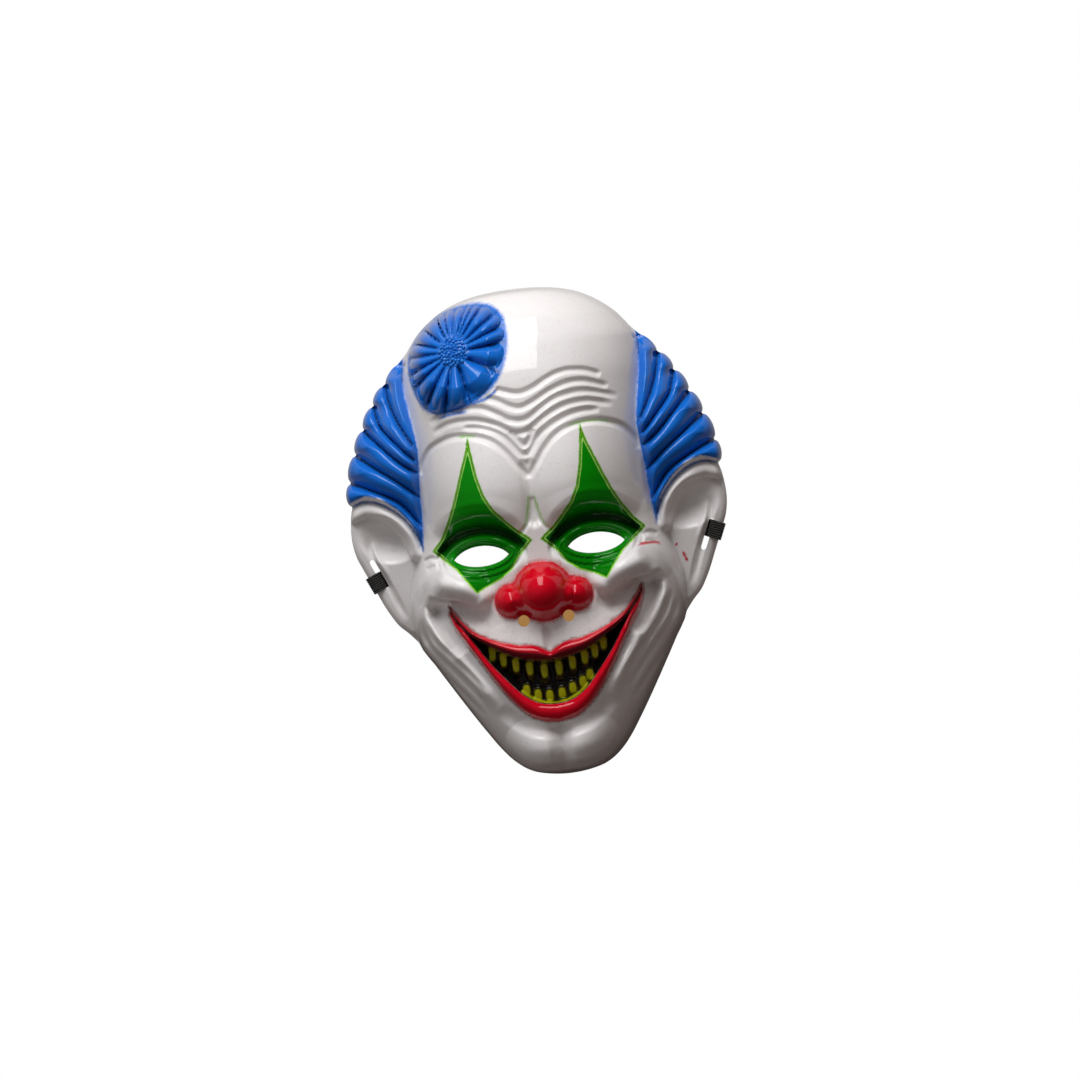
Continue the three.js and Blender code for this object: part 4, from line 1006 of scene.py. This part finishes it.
def mouldedSkinGroup():  # the slight unevenness of formed, handled plastic
    given = [("Ripple", "Float", 0.25), ("Scuffs", "Float", 0.3)]
    made = [("Height", "Float"), ("Gloss", "Float"), ("Dust", "Float")]
    group, given, result = newGroup("moulded skin", given, made)
    place = objectPlace(group)
    wide = noise(group, place, 90.0, 2.0)
    fine = noise(group, place, 900.0, 2.0)
    stretch = {"Vector": place, "Rotation": (0.3, 0.2, 0.9), "Scale": (1.0, 9.0, 1.0)}
    scratch = noise(group, node(group, "Mapping", stretch).outputs["Vector"], 160.0, 3.0, 0.7)
    lump = times(group, plus(group, wide, times(group, fine, 0.12)), given["Ripple"])
    shine = times(group, minus(group, wide, 0.5), 0.04)
    scuffs = times(group, ramp(group, scratch, 0.66, 0.72), given["Scuffs"])
    group.links.new(lump, result["Height"])
    group.links.new(plus(group, shine, scuffs), result["Gloss"])
    group.links.new(ramp(group, noise(group, place, 700.0, 2.0), 0.74, 0.8), result["Dust"])
    return group


def wovenGroup():  # weft, warp and fluff of a woven elastic band
    given = [("Across", "Float", 0.0), ("Along", "Float", 0.0), ("Depth", "Float", 1.0)]
    group, given, result = newGroup("woven band", given, [("Height", "Float"), ("Shade", "Float")])
    weft, warp = (calculate(group, "SINE", times(group, given[way], 2 * math.pi / strap[pitch]))
                  for way, pitch in (("Along", "weftPitch"), ("Across", "warpPitch")))
    fluff = noise(group, objectPlace(group), 3500.0, 3.0)
    total = plus(group, times(group, times(group, weft, warp), 0.3), fluff)
    group.links.new(times(group, total, given["Depth"]), result["Height"])
    group.links.new(ramp(group, total, 0.2, 1.0), result["Shade"])
    return group


sprayEdge = sprayEdgeGroup()
mouldedSkin = mouldedSkinGroup()

plastic = {
    "white": (0.83, 0.805, 0.8, 1),
    "inside": (0.78, 0.765, 0.755, 1),
    "blue": (0.007, 0.14, 0.58, 1),
    # blue painted into the furrows of the hair and the rosette as shade
    "blueInShade": (0.001, 0.018, 0.11, 1),
    "blueThin": (0.1, 0.26, 0.76, 1),
    "green": (0.001, 0.25, 0.0008, 1),
    # dark green: painted shade over the eyes, and the thin line along the patch's edge
    "greenLineAndShade": (0.001, 0.035, 0.001, 1),
    "lime": (0.24, 0.62, 0.03, 1),
    "limeHighlight": (0.42, 0.72, 0.16, 1),
    "red": (0.6, 0.001, 0.014, 1),
    # red of the painted shade on the upper lip's underside
    "redInShade": (0.1, 0.002, 0.006, 1),
    "redDeep": (0.2, 0.002, 0.006, 1),
    "black": (0.004, 0.0035, 0.003, 1),
    "tooth": (0.4, 0.41, 0.004, 1),
    "toothEdge": (0.035, 0.032, 0.001, 1),
    "dust": (0.42, 0.38, 0.35, 1),
    "insideDust": (0.45, 0.42, 0.4, 1),
    "cut": (0.8, 0.79, 0.78, 1),
    "roughness": 0.055,
    "hairAndPatchCoats": [  # zone, its depth's scale and shift, feather in mm, tone, strength
        ("mistBlue", 1, -0.5, 0.5, "blueThin", 0.9),
        ("mistGreen", 1, -0.5, 0.5, "lime", 0.65),
        ("mistRed", 1, -0.5, 0.5, "red", 0.95),
        ("lipSkin", 0.5, -0.75, 0.9, "redDeep", 0.35),
        ("hairPaint", 1, 0.5, 1.1, "blueThin", 0.7),
        ("earLineGap", -1, 0.55, 0.5, "blueThin", 0.8),
        ("hairPaint", 1, 0, 0.6, "hairWithShade", 1),
        ("blossomPaint", 1, 1.7, 1.5, "blueThin", 0.8),
        ("blossomPaint", 1, 0.8, 0.9, "hairWithShade", 1),
        ("patchPaint", 1, 0.35, 0.7, "lime", 1),
        ("patchPaint", 1, -0.55, 0.35, "lidShaded", 1),
    ],
    "patchLines": [  # along the patch's upper edge: how far inside it, half width, tone, strength; the pale lime line is a painted highlight
        (0.15, 0.22, "greenLineAndShade", 0.7),
        (1.25, 0.26, "limeHighlight", 0.9),
    ],
    "noseAndMouthCoats": [
        ("nosePaint", 1, 1.0, 2.0, "red", 0.55),
        ("nosePaint", 1, 0, 0.8, "red", 1),
        ("lipPaint", 1, 0.7, 1.2, "redDeep", 0.75),
        ("lipPaint", 1, 0, 0.7, "lipShaded", 1),
        ("mouthPaint", 1, 0, 0.35, "black", 1),
    ],
}


def newMaterial(name):
    material = bpy.data.materials.new(name)
    material.use_nodes = True
    material.node_tree.nodes.clear()
    return material, material.node_tree


def surface(tree, shader):
    output = tree.nodes.new("ShaderNodeOutputMaterial")
    tree.links.new(shader, output.inputs["Surface"])


def finish(tree, values):
    surface(tree, node(tree, "BsdfPrincipled", values).outputs["BSDF"])


def bumpFrom(tree, height, strength, distance):
    values = {"Height": height, "Strength": strength, "Distance": distance}
    return node(tree, "Bump", values).outputs["Normal"]


def sprayed(tree, under, coats, tones):
    for zone, scale, shift, feather, tone, strength in coats:
        depth = plus(tree, times(tree, attribute(tree, zone), scale), shift)
        mask = useGroup(tree, sprayEdge, {"Depth": depth, "Feather": feather})["Mask"]
        under = blendColour(tree, times(tree, mask, strength), under, tones[tone])
    return under


def paintedMaterial():
    material, tree = newMaterial("painted plastic")
    skin = useGroup(tree, mouldedSkin, {"Ripple": 0.25, "Scuffs": 0.0})
    # painted shade: the upper lip darker red towards its lower edge
    lipShade = attribute(tree, "lipShade")
    inShade = times(tree, ramp(tree, lipShade, 0.3, 0.6), ramp(tree, lipShade, 1.15, 1.05))
    # painted shade: the hair and the rosette go darker blue towards their furrows
    paintedLockLight = ramp(tree, attribute(tree, "paintedLockLight"), 0.0, 0.5)
    tones = dict(
        plastic,
        hairWithShade=blendColour(tree, paintedLockLight, plastic["blueInShade"], plastic["blue"]),
        # painted shade: the patch goes dark green in the hollow over the eye
        lidShaded=blendColour(tree, attribute(tree, "lidShade"), plastic["green"], plastic["greenLineAndShade"]),
        lipShaded=blendColour(tree, inShade, plastic["red"], plastic["redInShade"]),
    )
    colour = blendColour(tree, times(tree, skin["Dust"], 0.12), plastic["white"], plastic["dust"])
    colour = sprayed(tree, colour, plastic["hairAndPatchCoats"], tones)
    # the edge lines only on the patch's upper part; the pale one is a painted highlight
    upper = ramp(tree, attribute(tree, "patchUpper"), -2.0, 3.0)
    for gap, half, tone, strength in plastic["patchLines"]:
        off = calculate(tree, "ABSOLUTE", minus(tree, attribute(tree, "patchPaint"), gap))
        line = useGroup(tree, sprayEdge, {"Depth": minus(tree, half, off), "Feather": 0.25})["Mask"]
        colour = blendColour(tree, times(tree, times(tree, line, strength), upper), colour, plastic[tone])
    colour = sprayed(tree, colour, plastic["noseAndMouthCoats"], tones)
    tooth = attribute(tree, "toothPaint")
    toothMask = useGroup(tree, sprayEdge, {"Depth": tooth, "Feather": 0.5})["Mask"]
    inMouth = times(tree, toothMask, ramp(tree, attribute(tree, "mouthPaint"), 0.2, 0.6))
    toothTone = blendColour(tree, ramp(tree, tooth, 0.3, 0.95), plastic["toothEdge"], plastic["tooth"])
    finish(tree, {
        "Base Color": blendColour(tree, inMouth, colour, toothTone),
        "Roughness": plus(tree, skin["Gloss"], plastic["roughness"], clamp=True),
        "Specular IOR Level": 0.46,
        "Normal": bumpFrom(tree, skin["Height"], 0.12, 0.001),
    })
    return material


def insideMaterial():
    material, tree = newMaterial("bare inside")
    skin = useGroup(tree, mouldedSkin, {"Ripple": 0.5, "Scuffs": 0.2})
    finish(tree, {
        "Base Color": blendColour(tree, times(tree, skin["Dust"], 0.3), plastic["inside"],
                                  plastic["insideDust"]),
        "Roughness": plus(tree, skin["Gloss"], 0.38, clamp=True),
        "Normal": bumpFrom(tree, skin["Height"], 0.3, 0.001),
    })
    return material


def cutMaterial():
    material, tree = newMaterial("cut edge")
    skin = useGroup(tree, mouldedSkin, {"Ripple": 0.5, "Scuffs": 0.1})
    finish(tree, {"Base Color": plastic["cut"], "Roughness": plus(tree, skin["Gloss"], 0.5, clamp=True)})
    return material


def addLayer(mesh, name, values, kind="FLOAT", domain="POINT"):
    layer = mesh.attributes.new(name, kind, domain)
    layer.data.foreach_set("value", values)


def setNormals(mesh, x, y, painted):  # the form's own normals on the painted side, the mesh's elsewhere
    step = mask["slopeStep"]
    slopeX = (maskForm(x + step, y) - maskForm(x - step, y)) / (2 * step)
    slopeY = (maskForm(x, y + step) - maskForm(x, y - step)) / (2 * step)
    own = np.stack([-slopeX, -slopeY, np.ones(len(x))], axis=1)
    own /= np.linalg.norm(own, axis=1)[:, None]
    vertexOf = readValues(mesh.loops, "vertex_index", int)
    corners = readValues(mesh.corner_normals, "vector", np.float32, 3).astype(float)
    inside = alongLine(outline, np.abs(x), y)[0] > mask["edgeRoll"]
    use = painted & inside[vertexOf]
    corners[use] = own[vertexOf][use]
    mesh.normals_split_custom_set(corners.tolist())


def readValues(items, name, kind, size=1):
    values = np.zeros(len(items) * size, kind)
    items.foreach_get(name, values)
    return values.reshape(-1, size) if size > 1 else values


def punched(sheetPiece, punches):  # the sheet's mesh with the holes cut through
    holes = sheetPiece.modifiers.new("holes", "BOOLEAN")
    holes.object = punches
    holes.operation = "DIFFERENCE"
    holes.solver = "MANIFOLD"
    graph = bpy.context.evaluated_depsgraph_get()
    mesh = bpy.data.meshes.new_from_object(sheetPiece.evaluated_get(graph))
    sheetPiece.modifiers.clear()
    bpy.data.objects.remove(punches)
    return mesh


def markCutEdges(mesh, loopKind):  # sharp wherever two materials meet
    edgeOf = readValues(mesh.loops, "edge_index", int)
    lowest, highest = np.full(len(mesh.edges), 9), np.full(len(mesh.edges), -1)
    np.minimum.at(lowest, edgeOf, loopKind)
    np.maximum.at(highest, edgeOf, loopKind)
    addLayer(mesh, "sharp_edge", lowest != highest, "BOOLEAN", "EDGE")


def buildMask():
    materials = [paintedMaterial(), insideMaterial(), cutMaterial()]
    sheetPiece = bpy.data.objects.new("mask", sheetMesh())
    punches = bpy.data.objects.new("punches", punchMesh())
    for piece in (sheetPiece, punches):
        bpy.context.scene.collection.objects.link(piece)
        for material in materials:
            piece.data.materials.append(material)
    print("sheet", len(sheetPiece.data.polygons), "faces before punching")
    mesh = punched(sheetPiece, punches)
    sheetPiece.data = mesh
    mesh.name = "mask"
    x, y, _ = readValues(mesh.vertices, "co", float, 3).T / mm
    for name, values in paintZones(x, y).items():
        addLayer(mesh, name, values.astype(np.float32))
    mesh.shade_smooth()
    kinds = readValues(mesh.polygons, "material_index", int)
    loopKind = np.repeat(kinds, readValues(mesh.polygons, "loop_total", int))
    markCutEdges(mesh, loopKind)
    setNormals(mesh, x, y, loopKind == 0)
    print("mask", len(mesh.polygons), "faces, kinds", np.bincount(kinds))
    return sheetPiece


# seeds of the rosette

seeds = {
    "count": 62,
    "radius": 0.72,
    "spread": 0.5,  # the largest are this much thicker
    "turn": 137.5,  # degrees from one to the next
    "tip": (0.04, 0.25, 0.72, 1),
}


def seedMaterial():
    material, tree = newMaterial("seeds")
    skin = useGroup(tree, mouldedSkin, {"Ripple": 0.3, "Scuffs": 0.0})
    patchy = ramp(tree, noise(tree, objectPlace(tree), 420.0, 2.0), 0.35, 0.8)
    finish(tree, {
        "Base Color": blendColour(tree, patchy, plastic["blue"], seeds["tip"]),
        "Roughness": 0.07,
        "Normal": bumpFrom(tree, skin["Height"], 0.3, 0.0004),
    })
    return material


def buildSeeds():
    knobs = bmesh.new()
    for k in range(seeds["count"]):
        reach = rosette["seedRadius"] * math.sqrt((k + 0.5) / seeds["count"])
        angle = math.radians(seeds["turn"] * k)
        px = rosette["centre"][0] * halfWidth + reach * math.cos(angle)
        y = rosette["centre"][1] * halfHeight + reach * math.sin(angle)
        radius = seeds["radius"] + seeds["spread"] * (math.sin(12.9 * k) ** 2)
        z = float(maskForm(np.array([px]), np.array([y]))[0]) + 0.15
        bmesh.ops.create_icosphere(knobs, subdivisions=2, radius=radius * mm,
                                   matrix=Matrix.Translation((px * mm, y * mm, z * mm)))
    mesh = bpy.data.meshes.new("seeds")
    knobs.to_mesh(mesh)
    knobs.free()
    mesh.shade_smooth()
    mesh.materials.append(seedMaterial())
    piece = bpy.data.objects.new("seeds", mesh)
    bpy.context.scene.collection.objects.link(piece)
    print("seeds", len(mesh.polygons), "faces")
    return piece


# elastic strap: from its left sewn end round the left ear's edge, under the mask, and the same at the right

strap = {
    "width": 10.0,
    "thickness": 1.2,
    "gap": 0.35,
    "bow": 27.0,
    "sewn": 14.0,
    "play": 3.6,  # off the slot's middle, down on the left and up on the right
    "ribs": 8,
    "ribDepth": 0.4,
    "fall": 0.16,
    "colour": (0.008, 0.008, 0.0085, 1),
    # lighter colour of the rib crests: lint, and a painted sheen
    "lintAndSheen": (0.2, 0.19, 0.18, 1),
    "weftPitch": 0.55,
    "warpPitch": 0.42,
    "step": 0.9,  # between its sections
    "turnRadius": 1.3,  # where it folds
    "thread": ((0.012, 0.012, 0.012, 1), (0.03, 0.03, 0.03, 1)),
    "threadHalf": 0.16,
    "stitchHalf": 0.9,
    "stitchSlant": 0.35,
    "stitchRows": (0.3, 0.62),  # shares of the sewn length
    "stitches": 7,  # crossed pairs in a row
}


def strapEnd(side):  # centre line from the sewn stretch round the ear's edge and back, and the way across
    edge, along, inward = earFrame
    slot = edge + inward * slotShape["inset"]
    crest = edge + inward * mask["edgeRoll"]
    at = np.array([slot, crest])
    top = float(maskForm(at[:, 0], at[:, 1]).max())
    t = strap["thickness"]
    low = float(rimHeight(edge[0])) - strap["gap"] - t / 2
    high = top + strap["gap"] + t / 2
    left, right = -slotShape["inset"], strap["gap"] + t / 2
    turns = [(left - 0.6 * strap["sewn"], low), (right, low), (right, high), (left, high), (left, low + t),
             (left - strap["sewn"], low + t)]
    line = []
    for i in range(1, len(turns) - 1):  # rounded corners
        a, b, c = (np.array(turns[k], float) for k in (i - 1, i, i + 1))
        radius = min(strap["turnRadius"], 0.45 * np.hypot(*(c - b)), 0.45 * np.hypot(*(b - a)))
        p, q = b + (a - b) / np.hypot(*(a - b)) * radius, b + (c - b) / np.hypot(*(c - b)) * radius
        line += [(1 - k) ** 2 * p + 2 * k * (1 - k) * b + k * k * q for k in np.linspace(0, 1, 7)]
    line = [np.array(turns[0], float)] + line + [np.array(turns[-1], float)]
    across = -along * strap["play"] * side
    points = [np.array([*(edge - inward * x + across), z]) for x, z in line]
    flip = np.array([side, 1, 1])
    return [p * flip for p in points], np.array([along[0] * side, along[1], 0]) * side, low


def strapLine():  # centre line and the way across at each point, from end to end
    inward = earFrame[2]
    leftEnd, leftAcross, low = strapEnd(-1)
    rightEnd, rightAcross, _ = strapEnd(1)
    a, d = leftEnd[0][:2], rightEnd[0][:2]
    reach = strap["bow"] / (0.75 * inward[1])
    b, c = a + np.array([-inward[0], inward[1]]) * reach, d + inward * reach
    t = np.linspace(0, 1, 121)[1:-1, None]
    plan = (1 - t) ** 3 * a + 3 * (1 - t) ** 2 * t * b + 3 * (1 - t) * t * t * c + t ** 3 * d
    lengths = np.cumsum(np.hypot(*np.diff(np.vstack([a, plan, d]), axis=0).T))
    share = lengths[:-1] / lengths[-1]
    end = np.minimum(share, 1 - share)
    height = strap["thickness"] / 2 + (low - strap["thickness"] / 2) * (1 - smoothstep(0.04, strap["fall"],
                                                                                       end))
    run = [np.array([*p, z]) for p, z in zip(plan, height)]
    tangents = np.gradient(np.vstack([a, plan, d]), axis=0)[1:-1]
    runAcross = [np.array([t[1], -t[0], 0]) / np.hypot(*t) for t in tangents]
    across = [leftAcross] * len(leftEnd) + runAcross + [rightAcross] * len(rightEnd)
    return np.array(leftEnd[::-1] + run + rightEnd), np.array(across)


def bandSection():  # across and out, from edge to edge over the ribs and back under them
    s = np.linspace(-1, 1, strap["ribs"] * 4 + 1)
    ribs = 0.5 + 0.5 * np.cos(2 * math.pi * strap["ribs"] * (s + 1) / 2)
    out = (strap["thickness"] / 2 - strap["ribDepth"] * ribs) * np.where(np.abs(s) > 0.999, 0.55, 1)
    return list(zip(s, out)) + list(zip(s[::-1], -out[::-1]))


def stitchLines(frames, steps, width):  # both ends of each short stitch, and the way out and across there
    lines = []
    ends = [strap["sewn"] * row for row in strap["stitchRows"]]
    for end in ends + [steps[-1] - end for end in ends]:
        centre, way, out, tangent = (values[int(np.argmin(np.abs(steps - end)))] for values in frames)
        lean = tangent / np.linalg.norm(tangent) * strap["stitchHalf"]
        for j in np.linspace(-0.8, 0.8, strap["stitches"]):
            for slant in (strap["stitchSlant"], -strap["stitchSlant"]):
                lines.append((centre + way * (j * width - slant) - lean,
                              centre + way * (j * width + slant) + lean,
                              out, way))
    return lines


def buildStrap():
    points, across = strapLine()
    lengths = np.concatenate([[0], np.cumsum(np.linalg.norm(np.diff(points, axis=0), axis=1))])
    steps = np.unique(np.concatenate([np.arange(0, lengths[-1], strap["step"]), lengths]))
    centre, way = (np.stack([np.interp(steps, lengths, values[:, c]) for c in range(3)], axis=1)
                   for values in (points, across))
    way /= np.linalg.norm(way, axis=1)[:, None]
    tangent = np.gradient(centre, axis=0)
    out = np.cross(way, tangent)
    out /= np.linalg.norm(out, axis=1)[:, None]
    section = bandSection()
    half, width = strap["thickness"] / 2, strap["width"] / 2 - 0.1
    count, around = len(steps), len(section)
    verts = np.stack([centre + way * a * width + out * h for a, h in section], axis=1).reshape(-1,
                                                                                               3).tolist()
    ring = np.arange(around)
    following = (ring + 1) % around
    faces = []
    for base in range(0, (count - 1) * around, around):
        corners = [base + ring, base + following, base + around + following, base + around + ring]
        faces += np.stack(corners, axis=1).tolist()
    faces += [ring[::-1].tolist(), ((count - 1) * around + ring).tolist()]
    layers = {
        "across": np.tile([a * width for a, _ in section], count),
        "along": np.repeat(steps, around),
        "rib": np.tile([1 - (half - abs(h)) / strap["ribDepth"] for _, h in section], count).clip(0, 1),
    }
    kinds = [0] * len(faces)
    thread = strap["threadHalf"]
    for start, end, outward, side in stitchLines((centre, way, out, tangent), steps, width):
        q = len(verts)
        for p in (start, end):
            for dx, rise in ((-1, -1), (1, -1), (1, 1), (-1, 1)):
                verts.append((p + side * dx * thread + outward * rise * (half + thread)).tolist())
        faces += [[q + 3, q + 2, q + 1, q], [q + 4, q + 5, q + 6, q + 7]]
        faces += [[q + k, q + (k + 1) % 4, q + 4 + (k + 1) % 4, q + 4 + k] for k in range(4)]
        kinds += [1] * 6
    mesh = bpy.data.meshes.new("strap")
    mesh.from_pydata([(x * mm, y * mm, z * mm) for x, y, z in verts], [], faces)
    mesh.polygons.foreach_set("material_index", kinds)
    mesh.shade_smooth()
    for name, values in layers.items():
        addLayer(mesh, name, np.concatenate([values, np.zeros(len(verts) - len(values))]))
    mesh.materials.append(elasticMaterial())
    mesh.materials.append(threadMaterial())
    piece = bpy.data.objects.new("strap", mesh)
    bpy.context.scene.collection.objects.link(piece)
    print("strap", round(float(lengths[-1]), 1), "mm long,", len(faces), "faces")
    return piece


def elasticMaterial():
    material, tree = newMaterial("black elastic")
    given = {"Across": attribute(tree, "across"), "Along": attribute(tree, "along"), "Depth": 1.0}
    weave = useGroup(tree, wovenGroup(), given)
    frayed = ramp(tree, weave["Shade"], 0.2, 0.9, 0.25, 1.0)
    # rib crests lighter: partly lint, partly painted sheen
    wornAndSheen = times(tree, ramp(tree, attribute(tree, "rib"), 0.45, 1.0), frayed)
    finish(tree, {
        "Base Color": blendColour(tree, wornAndSheen, strap["colour"], strap["lintAndSheen"]),
        "Roughness": 0.8,
        "Specular IOR Level": 0.2,
        "Normal": bumpFrom(tree, weave["Height"], 0.6, 0.0002),
    })
    return material


def threadMaterial():
    material, tree = newMaterial("thread")
    twist = {"Vector": objectPlace(tree), "Scale": 900.0, "Distortion": 1.0}
    shade = node(tree, "TexWave", twist).outputs["Fac"]
    finish(tree, {"Base Color": blendColour(tree, shade, *strap["thread"]), "Roughness": 0.6})
    return material


maskPiece = buildMask()
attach(maskPiece, "root")
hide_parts("mask_shell")
seedPiece = buildSeeds()
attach(seedPiece, "root")
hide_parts("mask_shell")
strapPiece = buildStrap()
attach(strapPiece, "root")
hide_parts("elastic_strap")


# floor, light and camera

stage = {
    "floorSize": 3.0,
    "tan": (0.36, 0.19, 0.06, 1),  # backing seen through the two vents only
    "tanPlace": (-0.0027, -0.0478),
    "tanReach": (0.024, 0.009),
    "floorTone": (0.22, 0.185, 0.17, 1),  # as the mask is lit by it
    "key": dict(direction=(-0.14, 0.8, 0.58), distance=1.6, width=0.8, height=0.8, radiance=5.4),
    "box": dict(direction=(-0.05, 0.9, 0.42), distance=1.3, width=0.62, height=1.1, radiance=4.4),
    "skyDirection": (-0.6, 0.68, 0.42),
    "sky": 0.35,
    "dim": 0.13,
    "mirroredSky": 0.3,
    # glow of the floor seen only in reflections: a painted reflection
    "floorGlowMirrored": 0.4,
    "warm": (1.0, 0.82, 0.74),
    "distance": 6.0,
    "azimuth": 2.6,
    "roll": 7.0,
    "framed": 0.598,  # width of the picture at the mask, m
    "shift": (0.0012, -0.0048),  # aim, off the middle of the mask's box
}


def buildFloor():
    half = stage["floorSize"] / 2
    mesh = bpy.data.meshes.new("floor")
    mesh.from_pydata([(-half, -half, 0), (half, -half, 0), (half, half, 0), (-half, half, 0)], [],
                     [[0, 1, 2, 3]])
    floor = bpy.data.objects.new("floor", mesh)
    bpy.context.scene.collection.objects.link(floor)
    material, tree = newMaterial("floor")
    rays = node(tree, "LightPath").outputs
    place = objectPlace(tree)
    reach, low = stage["tanReach"], stage["tanPlace"]
    spot = {"Vector": place, "Location": (-low[0] / reach[0], -low[1] / reach[1], 0),
            "Scale": (1 / reach[0], 1 / reach[1], 0)}
    inSpot = node(tree, "VectorMath", {0: node(tree, "Mapping", spot).outputs["Vector"]},
                  operation="LENGTH")
    tone = blendColour(tree, ramp(tree, inSpot.outputs["Value"], 1.0, 0.9), (1, 1, 1, 1), stage["tan"])
    glow = node(tree, "Emission", {"Color": tone, "Strength": 1.0}).outputs["Emission"]
    plain = node(tree, "BsdfDiffuse", {"Color": stage["floorTone"]}).outputs["BSDF"]
    beyond = node(tree, "SeparateXYZ", {0: place}).outputs["Y"]
    # the floor glows in the mask's reflections beyond its middle: a painted reflection
    mirrored = times(tree, rays["Is Glossy Ray"],
                     ramp(tree, beyond, -0.05, 0.1, 0.0, stage["floorGlowMirrored"]))
    white = calculate(tree, "MAXIMUM", rays["Is Camera Ray"], mirrored)
    surface(tree, node(tree, "MixShader", {0: white, 1: plain, 2: glow}).outputs[0])
    mesh.materials.append(material)


def buildLight():
    world = bpy.data.worlds.new("studio")
    bpy.context.scene.world = world
    world.use_nodes = True
    tree = world.node_tree
    tree.nodes.clear()
    direction = node(tree, "TexCoord").outputs["Generated"]
    sky = np.array(stage["skyDirection"]) / np.linalg.norm(stage["skyDirection"])
    toSky = node(tree, "VectorMath", {0: direction, 1: tuple(sky)},
                 operation="DOT_PRODUCT").outputs["Value"]
    dim = tuple(stage["dim"] * c for c in stage["warm"]) + (1,)
    colour = blendColour(tree, ramp(tree, toSky, -0.1, 0.9), dim, (stage["sky"],) * 3 + (1,))
    mirrored = node(tree, "LightPath").outputs["Is Glossy Ray"]
    strength = ramp(tree, mirrored, 0.0, 1.0, 1.0, stage["mirroredSky"], smooth=False)
    background = node(tree, "Background", {"Color": colour, "Strength": strength})
    output = tree.nodes.new("ShaderNodeOutputWorld")
    tree.links.new(background.outputs[0], output.inputs["Surface"])
    for name in ("key", "box"):
        lamp = stage[name]
        data = bpy.data.lights.new(name, "AREA")
        data.shape = "RECTANGLE"
        data.size, data.size_y = lamp["width"], lamp["height"]
        data.energy = lamp["radiance"] * math.pi * lamp["width"] * lamp["height"]
        light = bpy.data.objects.new(name, data)
        way = np.array(lamp["direction"]) / np.linalg.norm(lamp["direction"])
        light.location = way * lamp["distance"]
        light.rotation_euler = turnTo(way, (0, 0, 1))
        light.visible_glossy = name == "box"  # only the box is mirrored in the plastic
        bpy.context.scene.collection.objects.link(light)


def turnTo(back, up):  # its +Z points back and its +Y is nearest to up
    z = Vector(back).normalized()
    x = Vector(up).cross(z).normalized()
    y = z.cross(x)
    return Matrix((x, y, z)).transposed().to_euler()


def buildCamera():
    low, high = (np.array(corner) for corner in cadBounds)
    roll, azimuth = math.radians(stage["roll"]), math.radians(stage["azimuth"])
    right = np.array([math.cos(roll), -math.sin(roll), 0])
    up = np.array([math.sin(roll), math.cos(roll), 0])
    target = (low + high) / 2 + right * stage["shift"][0] + up * stage["shift"][1]
    back = np.array([math.sin(azimuth), 0, math.cos(azimuth)])
    data = bpy.data.cameras.new("camera")
    data.lens = data.sensor_width * stage["distance"] / stage["framed"]
    camera = bpy.data.objects.new("camera", data)
    camera.location = target + back * stage["distance"]
    camera.rotation_euler = turnTo(back, up)
    bpy.context.scene.collection.objects.link(camera)
    bpy.context.scene.camera = camera


buildFloor()
buildLight()
buildCamera()
print("floor, lights and camera")
bpy.context.scene.view_settings.view_transform = "Standard"
bpy.context.scene.view_settings.look = "None"
